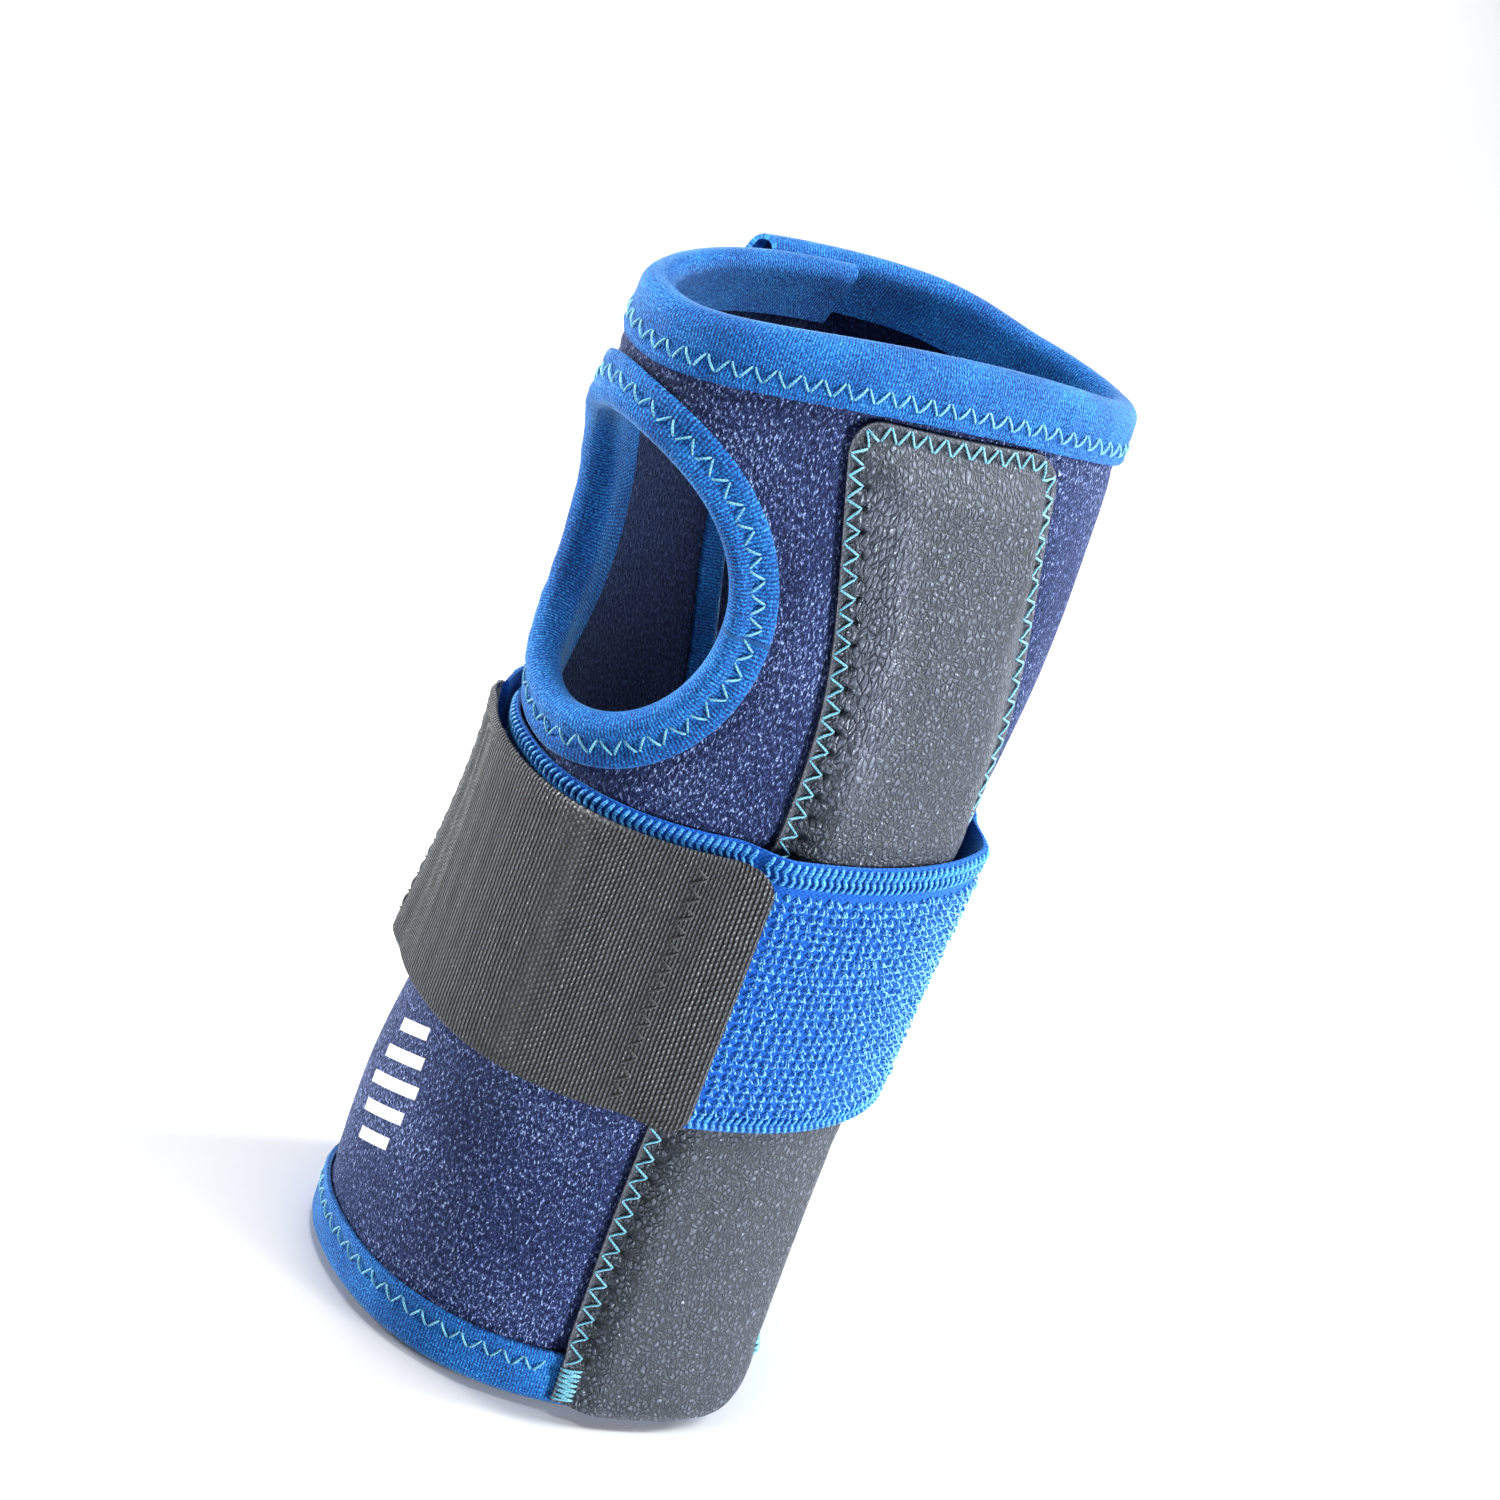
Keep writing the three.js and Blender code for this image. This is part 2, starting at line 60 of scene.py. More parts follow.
SEAM_THUMB = [-10.9, -10.7, -10.1, -7.9, -8.0, -14.6, -22.5]
SEAM_LITTLE = [34.6, 34.9, 35.9, 36.0, 33.2, 26.0, 20.5]
POCKET_Z, POCKET_ROUND, POCKET_RISE = (2.2, 175.8), 6.5, 4.4
STAY_X, STAY_Z, STAY_OFF, STAY_ROUND = (-3, 19), (4, 172), (1.45, 2.75), 9
STRAP_Z, STRAP_TILT, STRAP_T, STRAP_START = (59.2, 107.2), 2.6, 1.7, -74
TAB_END, TAB_DROP, TAB_T, HOOK_T = -7.6, 1.8, 1.3, 1.0
SPLIT = math.radians(120)
UNDERLAP_S = -112.5
FLAP_EDGE = [-88, -88, -88, -88.5, -90.5, -91, -91]
FLAP_TUCK = 8.5                     # the cloth of the flap's edge stops this much short of its solid


# ---------------------------------------------------------------- small maths
def spline(xs, ys):
    xs, ys = np.array(xs, float), np.array(ys, float)
    n, h = len(xs), np.diff(xs)
    A, r = np.eye(n), np.zeros(n)
    for i in range(1, n - 1):
        A[i, i - 1], A[i, i], A[i, i + 1] = h[i - 1], 2 * (h[i - 1] + h[i]), h[i]
        r[i] = 3 * ((ys[i + 1] - ys[i]) / h[i] - (ys[i] - ys[i - 1]) / h[i - 1])
    c = np.linalg.solve(A, r)
    b = (ys[1:] - ys[:-1]) / h - h * (c[1:] + 2 * c[:-1]) / 3
    d = (c[1:] - c[:-1]) / (3 * h)

    def f(x):
        x = np.asarray(x, float)
        j = np.clip(np.searchsorted(xs, x, side="left") - 1, 0, n - 2)
        t = x - xs[j]
        return ys[j] + b[j] * t + c[j] * t * t + d[j] * t ** 3
    return f


def smooth(t):
    t = np.clip(t, 0, 1)
    return t * t * (3 - 2 * t)


def lerp(a, b, t):
    return a + (b - a) * t


def bell(x, w):
    return np.exp(-(x / w) ** 2)


_lattice = np.random.default_rng(7).random((256, 256))


def vnoise(x, y, seed=0):
    """smooth value noise, -1 to 1, one cell per unit"""
    x, y = np.asarray(x, float) + 31.7 * seed + 100, np.asarray(y, float) + 17.3 * seed + 100
    i, j = np.floor(x).astype(int), np.floor(y).astype(int)
    u, v = smooth(x - i), smooth(y - j)
    g = lambda a, b: _lattice[a % 256, b % 256]
    return 2 * lerp(lerp(g(i, j), g(i + 1, j), u), lerp(g(i, j + 1), g(i + 1, j + 1), u), v) - 1


fA, fB, fC = spline(Z_KEYS, HALF_WIDTH), spline(Z_KEYS, HALF_DEPTH), spline(Z_KEYS, CENTRE_X)
fSeamT, fSeamL, fFlapCad = spline(Z_KEYS, SEAM_THUMB), spline(Z_KEYS, SEAM_LITTLE), spline(Z_KEYS, FLAP_EDGE)
fFlap = lambda z: fFlapCad(z) - FLAP_TUCK


def palm_y(z):
    return PALM_Y + ARC_RADIUS - np.sqrt(ARC_RADIUS ** 2 - (z - ARC_Z) ** 2)


def hand_hem(phi):
    return 182.25 + 2.5 * np.cos(phi) + 2.25 * np.cos(2 * phi)


def at(phi, z, off):
    """phi: 0 palm, 90 degrees little-finger side, 180 back, 270 thumb side"""
    phi, z, off = np.broadcast_arrays(np.asarray(phi, float), np.asarray(z, float), np.asarray(off, float))
    s, c, p = np.sin(phi), np.cos(phi), 2 / ROUNDNESS
    X, Y = np.sign(s) * np.abs(s) ** p, -np.sign(c) * np.abs(c) ** p
    A, B = fA(z), fB(z)
    return np.stack([fC(z) + (A + off) * X + SHIFT_X, palm_y(z) + B + (B + off) * Y + SHIFT_Y, z], -1)


NU = 1441
ZT = np.arange(-4, 194.01, 0.5)
PH = np.linspace(0, pi, NU)
_q = at(PH[None, :], ZT[:, None], 0)
GT = np.concatenate([np.zeros((len(ZT), 1)), np.cumsum(np.linalg.norm(np.diff(_q[..., :2], axis=1), axis=-1), axis=1)], 1)
GH = GT[:, -1]
INV = np.array([np.interp(np.linspace(0, GH[i], NU), GT[i], PH) for i in range(len(ZT))])


def half(z):
    return np.interp(z, ZT, GH)


def _table(tab, z, f):
    fz = np.clip((z - ZT[0]) / 0.5, 0, len(ZT) - 1.001)
    i = fz.astype(int); tz = fz - i
    fu = np.clip(f, 0, 1) * (NU - 1)
    j = np.minimum(fu.astype(int), NU - 2); tu = fu - j
    return lerp(lerp(tab[i, j], tab[i, j + 1], tu), lerp(tab[i + 1, j], tab[i + 1, j + 1], tu), tz)


def phi_of(s, z):
    s, z = np.broadcast_arrays(np.asarray(s, float), np.asarray(z, float))
    H = half(z)
    up, dn = s > H, s < -H
    q = np.where(up, s - 2 * H, np.where(dn, s + 2 * H, s))
    return np.sign(q) * _table(INV, z, np.abs(q) / H) + np.where(up, 2 * pi, 0) - np.where(dn, 2 * pi, 0)


def girth_at(phi, z):
    phi, z = np.broadcast_arrays(np.asarray(phi, float), np.asarray(z, float))
    far = phi > pi
    g = _table(GT, z, np.where(far, 2 * pi - phi, phi) / pi)
    return np.where(far, 2 * half(z) - g, g)


def on(s, z, off):
    return at(phi_of(s, z), z, off)


def split_s(z):
    return girth_at(np.full(np.shape(z), SPLIT), z)


# ---------------------------------------------------------------- how far each layer stands off the tube
def flap_in(phi):
    return lerp(-NEOPRENE, FLAP_LIFT, smooth((phi - 2.2) / 0.6))


def pocket_bulge(s, z):
    return POCKET_RISE * smooth((s - fSeamT(z) + 7) / 10) * smooth((fSeamL(z) + 7 - s) / 10)


def pocket_seam(z, side):
    r = POCKET_ROUND
    e = np.maximum(0, z - (POCKET_Z[1] - r))
    if side > 0:
        e = np.maximum(e, POCKET_Z[0] + r - z)
    cut = r - np.sqrt(np.maximum(0, r * r - np.minimum(e, r) ** 2))
    return fSeamT(z) + cut if side < 0 else fSeamL(z) - cut


def turn_in(s, z):
    return 0.5 + pocket_bulge(s, z)


def turn_out(s, z):
    return turn_in(s, z) + STRAP_T


def dorsal_in(phi):
    return flap_in(phi) + NEOPRENE + 0.45 + smooth((phi - 3.0) / 0.4) * (BIND + 0.45)


def tab_in(s, z):
    far = FLAP_LIFT + NEOPRENE + 0.9 + BIND
    near = turn_out(s, z) + 0.8 + HOOK_T
    return lerp(far, near, smooth((s - (fFlap(z) + 2.0)) / 13))


def hole_e(s, z):
    """distance outside the thumb opening's rim, roughly"""
    rz = np.where(z > HOLE_Z, HOLE_RZ_HIGH, HOLE_RZ_LOW)
    q = np.hypot((s - HOLE_S) / HOLE_RS, (z - HOLE_Z) / rz)
    return (q - 1) * np.hypot(s - HOLE_S, z - HOLE_Z) / np.maximum(q, 1e-6)


def strap_low(phi):
    return STRAP_Z[0] + STRAP_TILT * np.sin(phi)


def strap_high(phi):
    return STRAP_Z[1] + STRAP_TILT * np.sin(phi)


# ---------------------------------------------------------------- meshes
class Buf:
    """vertices in mm, quads, two UV numbers in mm, a face material index and named point values"""

    def __init__(self):
        self.v, self.q, self.uv, self.m, self.n, self.a = [], [], [], [], 0, {}

    def add(self, v, q, uv, m=0, **values):
        v = np.asarray(v, float).reshape(-1, 3)
        q = np.asarray(q, int).reshape(-1, 4)
        self.v.append(v); self.q.append(q + self.n)
        self.uv.append(np.asarray(uv, float).reshape(-1, 2))
        self.m.append(np.broadcast_to(np.asarray(m, int), (len(q),)))
        for k, x in values.items():
            self.a.setdefault(k, []).append((self.n, np.asarray(x, float).ravel()))
        self.n += len(v)
        return self

    def build(self, name, mats, sharp=50, flat=False):
        v, q, uv, m = np.concatenate(self.v), np.concatenate(self.q), np.concatenate(self.uv), np.concatenate(self.m)
        used = np.unique(q)
        back = np.full(len(v), -1); back[used] = np.arange(len(used))
        v, uv, q = v[used], uv[used], back[q]
        a, b, c, d = v[q[:, 0]], v[q[:, 1]], v[q[:, 2]], v[q[:, 3]]
        vol = np.einsum("ij,ij->i", a, np.cross(b, c)).sum() + np.einsum("ij,ij->i", a, np.cross(c, d)).sum()
        if vol < 0:
            q = q[:, ::-1].copy()
        me = bpy.data.meshes.new(name)
        me.vertices.add(len(v)); me.loops.add(q.size); me.polygons.add(len(q))
        me.vertices.foreach_set("co", (v * 0.001).astype(np.float32).ravel())
        me.loops.foreach_set("vertex_index", q.astype(np.int32).ravel())
        me.polygons.foreach_set("loop_start", np.arange(0, q.size, 4, dtype=np.int32))
        me.polygons.foreach_set("material_index", m.astype(np.int32))
        me.polygons.foreach_set("use_smooth", np.full(len(q), not flat))
        me.update(calc_edges=True)
        lay = me.uv_layers.new(name="sz")
        lay.data.foreach_set("uv", uv[q.ravel()].astype(np.float32).ravel())
        for k, parts in self.a.items():
            full = np.zeros(self.n)
            for start, x in parts:
                full[start:start + len(x)] = x
            me.attributes.new(k, "FLOAT", "POINT").data.foreach_set("value", full[used].astype(np.float32))
        if sharp:
            me.set_sharp_from_angle(angle=math.radians(sharp))
        me.validate()
        o = bpy.data.objects.new(name, me)
        bpy.context.scene.collection.objects.link(o)
        for x in mats:
            me.materials.append(x)
        return o


def closed_grid(buf, PO, PI, U, V, keep=None, m_out=0, m_in=1, **values):
    """a sheet with an outer and an inner face, closed round every edge of the kept cells"""
    R, C = PO.shape[:2]
    if keep is None:
        keep = np.ones((R - 1, C - 1), bool)
    o = np.arange(R * C).reshape(R, C); i = o + R * C
    a, b, c, d = o[:-1, :-1][keep], o[:-1, 1:][keep], o[1:, 1:][keep], o[1:, :-1][keep]
    outer = np.stack([a, b, c, d], 1)
    inner = np.stack([a, d, c, b], 1) + R * C
    rim = []
    k = np.zeros((R + 1, C + 1), bool); k[1:-1, 1:-1] = keep
    lo, hi = k[:-1, 1:-1], k[1:, 1:-1]          # cells before and after each row edge
    for mask, flip in ((hi & ~lo, 0), (lo & ~hi, 1)):
        r, cc = np.nonzero(mask)
        p, q = o[r, cc], o[r, cc + 1]
        if flip: p, q = q, p
        rim.append(np.stack([q, p, p + R * C, q + R * C], 1))
    le, ri = k[1:-1, :-1], k[1:-1, 1:]
    for mask, flip in ((ri & ~le, 0), (le & ~ri, 1)):
        r, cc = np.nonzero(mask)
        p, q = o[r, cc], o[r + 1, cc]
        if flip: p, q = q, p
        rim.append(np.stack([p, q, q + R * C, p + R * C], 1))
    rim = np.concatenate(rim)
    uv = np.stack([U, V], -1).reshape(-1, 2)
    vals = {n: np.concatenate([x.ravel(), 0 * x.ravel()]) for n, x in values.items()}
    buf.add(np.concatenate([PO.reshape(-1, 3), PI.reshape(-1, 3)]), np.concatenate([outer, rim, inner]),
            np.concatenate([uv, uv]), np.concatenate([np.full(len(outer) + len(rim), m_out), np.full(len(inner), m_in)]), **vals)
    return buf


def sweep(buf, secs, U, V, ring=False, m=0):
    """closed sections (stations, points, 3); the ends are closed by pairing points from both ends of the section"""
    S, n = secs.shape[:2]
    idx = np.arange(S * n).reshape(S, n)
    nx = np.roll(idx, -1, 1)
    A, B = (idx, nx) if ring else (idx[:-1], nx[:-1])
    C, D = (np.roll(nx, -1, 0), np.roll(idx, -1, 0)) if ring else (nx[1:], idx[1:])
    quads = [np.stack([A, B, C, D], -1).reshape(-1, 4)]
    if not ring:
        for st, flip in ((0, True), (S - 1, False)):
            for j in range(n // 2 - 1):
                f = [idx[st, j], idx[st, j + 1], idx[st, n - 2 - j], idx[st, n - 1 - j]]
                quads.append(np.array([f[::-1] if flip else f]))
    buf.add(secs.reshape(-1, 3), np.concatenate(quads), np.stack([np.broadcast_to(U[:, None], (S, n)), np.broadcast_to(V, (S, n))], -1), m)
    return buf


def tubes(buf, P, N, r, sides=6, m=0):
    """many round cords at once: P (count, points, 3), N outward directions of the same shape, r radius (broadcast)"""
    P, N = np.asarray(P, float), np.asarray(N, float)
    K, S = P.shape[:2]
    T = np.gradient(P, axis=1)
    T /= np.linalg.norm(T, axis=-1, keepdims=True) + 1e-12
    Nn = N - (N * T).sum(-1, keepdims=True) * T
    Nn /= np.linalg.norm(Nn, axis=-1, keepdims=True) + 1e-12
    Bn = np.cross(T, Nn)
    th = np.arange(sides) * 2 * pi / sides
    r = np.broadcast_to(np.asarray(r, float), (K, S))
    V = P[:, :, None, :] + r[:, :, None, None] * (np.cos(th)[None, None, :, None] * Nn[:, :, None, :] + np.sin(th)[None, None, :, None] * Bn[:, :, None, :])
    idx = np.arange(K * S * sides).reshape(K, S, sides); nx = np.roll(idx, -1, 2)
    quads = [np.stack([idx[:, :-1], nx[:, :-1], nx[:, 1:], idx[:, 1:]], -1).reshape(-1, 4)]
    for j in range(sides // 2 - 1):
        a, b, c, d = j, j + 1, sides - 2 - j, sides - 1 - j
        quads.append(np.stack([idx[:, 0, d], idx[:, 0, c], idx[:, 0, b], idx[:, 0, a]], -1))
        quads.append(np.stack([idx[:, -1, a], idx[:, -1, b], idx[:, -1, c], idx[:, -1, d]], -1))
    L = np.concatenate([np.zeros((K, 1)), np.cumsum(np.linalg.norm(np.diff(P, axis=1), axis=-1), 1)], 1)
    uv = np.stack([np.broadcast_to(L[:, :, None], (K, S, sides)), np.broadcast_to(th[None, None] * 0.3, (K, S, sides))], -1)
    buf.add(V.reshape(-1, 3), np.concatenate(quads), uv.reshape(-1, 2), m)
    return buf


def thread(buf, s, z, off, r=0.24, sides=6, m=0):
    P = on(s, z, off); N = on(s, z, off + 1) - P
    return tubes(buf, P[None], N[None], r, sides, m)


def zigzag(q, centre, across, pitch, width, base, seed=0, per=7, up=0.36, down=0.42, fit=False, phase=0):
    """needle points every half pitch along q (mm), and a thread that rises between them.
    centre(q) -> (s, z); across(q) -> unit direction in (s, z); base(s, z) -> offset of the cloth. Returns s, z, off and the needle points."""
    rng = np.random.default_rng(100 + seed)
    n = int((q[1] - q[0]) / (pitch / 2)) + 1
    if fit and (n - 1 + phase) % 2 != fit - 1:
        n += 1                                            # fit 1 ends on the low side, 2 on the high side
    k = np.arange(n)
    loose = (k > 0) & (k < n - 1) if fit else np.ones(n)
    step = (q[1] - q[0]) / (n - 1) if fit else pitch / 2
    qq = q[0] + k * step + rng.uniform(-0.10, 0.10, n) * step * loose
    side = np.where((k + phase) % 2, 1, -1) * width / 2 * (1 + rng.uniform(-0.07, 0.07, n) * loose)
    cs, cz = centre(qq); ax, az = across(qq)
    ns, nz = cs + ax * side, cz + az * side
    t = np.linspace(0, 1, per)[:-1]
    S = (ns[:-1, None] * (1 - t) + ns[1:, None] * t).ravel()
    Z = (nz[:-1, None] * (1 - t) + nz[1:, None] * t).ravel()
    lift = np.tile(-down + (up + down) * np.sin(pi * t) ** 0.55, n - 1)
    S, Z, lift = np.append(S, ns[-1]), np.append(Z, nz[-1]), np.append(lift, -down)
    return S, Z, base(S, Z) + lift, np.stack([ns, nz], 1)


def pits(S, Z, pts, radius):
    """how deep each grid point lies in a needle hole, 0 to 1"""
    out = np.zeros(S.shape)
    for s, z in pts:
        m = (np.abs(S - s) < 3 * radius) & (np.abs(Z - z) < 3 * radius)
        out[m] = np.maximum(out[m], np.exp(-(((S[m] - s) ** 2 + (Z[m] - z) ** 2) / radius ** 2)))
    return out


def graded(a, b, step, fine, band, both=True):
    """points from a to b, fine within band of the ends"""
    m = np.linspace(0, 1, max(2, int(round((b - a - (2 if both else 1) * band) / step)) + 1))
    lo = np.arange(0, band, fine)
    hi = (b - np.arange(0, band, fine))[::-1]
    return np.concatenate([a + lo, lerp(a + band, b - (band if both else 0), m), hi if both else []])


# ---------------------------------------------------------------- materials
class Mat:
    def __init__(self, name, **sockets):
        self.m = bpy.data.materials.new(name); self.m.use_nodes = True
        self.t = self.m.node_tree; self.t.nodes.clear()
        self.b = self.t.nodes.new("ShaderNodeBsdfPrincipled")
        self.o = self.t.nodes.new("ShaderNodeOutputMaterial")
        self.t.links.new(self.b.outputs[0], self.o.inputs["Surface"])
        for k, v in sockets.items():
            self.b.inputs[k.replace("_", " ")].default_value = v

    def put(self, sock, v):
        if isinstance(v, bpy.types.NodeSocket): self.t.links.new(v, sock)
        elif v is not None: sock.default_value = v

    def n(self, kind, out=0, props=None, **ins):
        nd = self.t.nodes.new(kind)
        for k, v in (props or {}).items(): setattr(nd, k, v)
        for k, v in ins.items():
            self.put(nd.inputs[int(k[1:]) if k[0] == "i" and k[1:].isdigit() else k.replace("_", " ")], v)
        return nd.outputs[out]

    def uv(self, sx=1, sy=1, rot=0):
        u = self.n("ShaderNodeUVMap", props={"uv_map": "sz"})
        return self.n("ShaderNodeMapping", Vector=u, Scale=(sx, sy, 1), Rotation=(0, 0, rot))

    def obj(self, k):
        u = self.n("ShaderNodeTexCoord", out="Object")
        return self.n("ShaderNodeMapping", Vector=u, Scale=(k, k, k))

    def noise(self, v, scale=1, detail=2, rough=.5, dist=0):
        return self.n("ShaderNodeTexNoise", out="Fac", Vector=v, Scale=scale, Detail=detail, Roughness=rough, Distortion=dist)

    def vor(self, v, feature="F1", rand=1.0, scale=1, out="Distance"):
        return self.n("ShaderNodeTexVoronoi", out=out, props={"feature": feature}, Vector=v, Scale=scale, Randomness=rand)

    def f(self, op, a, b=None, c=None, clamp=False):
        return self.n("ShaderNodeMath", props={"operation": op, "use_clamp": clamp}, i0=a, i1=b, i2=c)

    def ramp(self, fac, stops):
        nd = self.t.nodes.new("ShaderNodeValToRGB"); e = nd.color_ramp.elements
        while len(e) < len(stops): e.new(0.5)
        for x, (p, c) in zip(e, stops):
            x.position = p; x.color = (*c, 1) if len(c) == 3 else c
        self.put(nd.inputs[0], fac)
        return nd.outputs[0]

    def rng(self, v, a, b, c=0.0, d=1.0):
        return self.n("ShaderNodeMapRange", Value=v, From_Min=a, From_Max=b, To_Min=c, To_Max=d)

    def mix(self, fac, a, b, blend="MIX"):
        nd = self.t.nodes.new("ShaderNodeMix"); nd.data_type = "RGBA"; nd.blend_type = blend
        self.put(nd.inputs[0], fac); self.put(nd.inputs[6], a if isinstance(a, bpy.types.NodeSocket) else (*a, 1)); self.put(nd.inputs[7], b if isinstance(b, bpy.types.NodeSocket) else (*b, 1))
        return nd.outputs[2]

    def bump(self, h, dist_mm, strength=1.0, normal=None):
        return self.n("ShaderNodeBump", Height=h, Distance=dist_mm * 0.001, Strength=strength, Normal=normal)

    def split(self, v):
        nd = self.t.nodes.new("ShaderNodeSeparateXYZ"); self.put(nd.inputs[0], v)
        return nd.outputs[0], nd.outputs[1]

    def attr(self, name):
        return self.n("ShaderNodeAttribute", out="Fac", props={"attribute_name": name})

    def end(self, color=None, rough=None, normal=None):
        self.put(self.b.inputs["Base Color"], color); self.put(self.b.inputs["Roughness"], rough); self.put(self.b.inputs["Normal"], normal)
        return self.m


def jersey(name, dark, mid, light, pale, sheen=0.55):
    """heathered knit: pale flecks run up the cloth, 0.4 mm wide and about 1 mm long"""
    M = Mat(name, Sheen_Weight=sheen, Sheen_Roughness=0.26, Sheen_Tint=(0.40, 0.62, 1.0, 1), Specular_IOR_Level=0.30, Specular_Tint=(.75, .88, 1, 1))
    n1 = M.noise(M.uv(2.3, 1.0), 1, 3, .62, .35)
    n2 = M.noise(M.uv(4.2, 2.2, 0.3), 1, 2, .6, .3)
    big = M.noise(M.uv(.045, .05), 1, 2, .5)
    f = M.f("ADD", M.f("MULTIPLY", n1, .62), M.f("MULTIPLY", n2, .38))
    f = M.f("ADD", f, M.f("MULTIPLY", M.f("SUBTRACT", big, .5), .10))
    col = M.ramp(f, [(.38, dark), (.50, mid), (.562, light), (.640, pale)])
    tint = M.ramp(M.noise(M.uv(.9, .5), 1, 2, .5), [(.3, (.80, .80, 1.0)), (.7, (1.0, 1.05, 1.0))])
    col = M.mix(.6, col, M.mix(1, col, tint, "MULTIPLY"))
    return M.end(col, M.rng(f, .42, .64, .90, .34), M.bump(f, .75, 1.0))


navy = jersey("navy_jersey", (.002, .004, .026), (.006, .013, .070), (.026, .050, .190), (.48, .62, .96), .17)
lining = jersey("navy_lining", (.008, .010, .035), (.014, .020, .075), (.030, .042, .130), (.09, .12, .28), .25)


def knit_binding(name):
    """stretch knit tape: fine wales across the tape, brushed face"""
    M = Mat(name, Sheen_Weight=.42, Sheen_Roughness=.28, Sheen_Tint=(.50, .84, 1.0, 1), Specular_IOR_Level=.3)
    x, y = M.split(M.uv(1, 1))
    wob = M.noise(M.uv(.8, .8), 1, 2, .5)
    rib = M.f("SINE", M.f("ADD", M.f("MULTIPLY", x, 2 * pi / .52), M.f("MULTIPLY", wob, 5.0)))
    crs = M.f("SINE", M.f("ADD", M.f("MULTIPLY", y, 2 * pi / .62), M.f("MULTIPLY", wob, 4.0)))
    n1 = M.noise(M.uv(2.6, 2.2), 1, 3, .65, .4)
    h = M.f("ADD", M.f("MULTIPLY", rib, .09), M.f("ADD", M.f("MULTIPLY", M.f("MULTIPLY", rib, crs), .05), n1))
    big = M.noise(M.uv(.09, .12), 1, 2, .5)
    h2 = M.f("ADD", h, M.f("MULTIPLY", M.f("SUBTRACT", big, .5), .25))
    col = M.ramp(h2, [(.34, (.001, .020, .110)), (.50, (.001, .085, .350)), (.62, (.006, .180, .560)), (.76, (.080, .410, .84))])
    return M.end(col, M.rng(h, .3, .7, .9, .68), M.bump(h, .30, .8))


binding = knit_binding("blue_knit_binding")


def leather():
    """pebbled leatherette: 1 mm pebbles, longer and deeper where the cover creases"""
    M = Mat("charcoal_leatherette", Specular_IOR_Level=.72, Sheen_Weight=.05, Sheen_Roughness=.20, Sheen_Tint=(.5, .7, 1, 1), Specular_Tint=(.80, .90, 1, 1))
    crease = M.attr("crease")
    base = M.uv(1.0, .74)
    warp = M.n("ShaderNodeTexNoise", out="Color", Vector=base, Scale=.55, Detail=2.0)
    vec = M.n("ShaderNodeVectorMath", props={"operation": "MULTIPLY_ADD"}, i0=warp, i1=(1.0, 1.0, 0), i2=base)
    e1 = M.vor(vec, "DISTANCE_TO_EDGE", .85, 1.20)
    e2 = M.vor(vec, "DISTANCE_TO_EDGE", 1.0, 2.3)
    long = M.vor(M.n("ShaderNodeVectorMath", props={"operation": "MULTIPLY_ADD"}, i0=warp, i1=(.9, .9, 0), i2=M.uv(1.30, .50)), "DISTANCE_TO_EDGE", 1.0, 1.0)
    p1 = M.rng(e1, .035, .34); p2 = M.f("POWER", M.rng(e2, 0, .26), .7); p3 = M.f("POWER", M.rng(long, 0, .24), .5)
    h = M.f("ADD", M.f("MULTIPLY", p1, .76), M.f("MULTIPLY", p2, .24))
    h = M.f("ADD", M.f("MULTIPLY", h, M.f("SUBTRACT", 1.0, M.f("MULTIPLY", crease, .55))), M.f("MULTIPLY", M.f("MULTIPLY", p3, crease), 1.1))
    fine = M.noise(M.uv(5, 5), 1, 2, .5)
    h = M.f("ADD", h, M.f("MULTIPLY", fine, .10))
    big = M.noise(M.uv(.06, .04), 1, 3, .5)
    # the colour follows the pebble height: near-black in the crevices is painted shade, the lighter pebble tops are a
    # painted highlight, and the broad noise is random tone
    col = M.ramp(M.f("ADD", h, M.f("MULTIPLY", M.f("SUBTRACT", big, .5), .3)), [(.12, (.001, .001, .003)), (.34, (.011, .013, .022)), (.62, (.036, .042, .066)), (1.0, (.105, .118, .165))])
    # painted shade: the needle holes are coloured near-black
    col = M.mix(M.attr("pit"), col, (.003, .003, .005))
    col = M.mix(M.f("MULTIPLY", M.attr("rub"), .35), col, (.17, .18, .21))
    rough = M.f("ADD", M.rng(h, .2, 1, .55, .24), M.f("MULTIPLY", M.f("SUBTRACT", big, .5), .15))
    return M.end(col, rough, M.bump(h, .38, 1.0))


leatherette = leather()


def yarn(name, lo, hi, rough=.45, sheen=.25, tint=(.7, .95, 1, 1)):
    M = Mat(name, Sheen_Weight=sheen, Sheen_Tint=tint, Specular_IOR_Level=.5)
    x, y = M.split(M.uv(1, 1))
    ply = M.f("SINE", M.f("ADD", M.f("MULTIPLY", x, 2 * pi / .55), M.f("MULTIPLY", y, 2 * pi / 1.9)))
    n = M.noise(M.obj(900), 1, 2, .6)
    h = M.f("ADD", M.f("MULTIPLY", ply, .25), n)
    return M.end(M.ramp(h, [(.2, lo), (.8, hi)]), rough, M.bump(h, .06, .7))


thread_mat = yarn("teal_thread", (.030, .19, .32), (.24, .64, .78))
pile_mat = yarn("blue_pile_yarn", (.006, .19, .64), (.26, .70, .92), .42, .35, (.5, .9, 1, 1))
cord_mat = yarn("blue_selvedge_yarn", (.001, .085, .40), (.080, .50, .96), .42, .3, (.5, .9, 1, 1))
navy_thread = yarn("navy_thread", (.010, .016, .070), (.050, .080, .26), .5, .2, (.7, .8, 1, 1))
grey_thread = yarn("grey_thread", (.006, .006, .008), (.034, .035, .042), .5, .2, (1, 1, 1, 1))


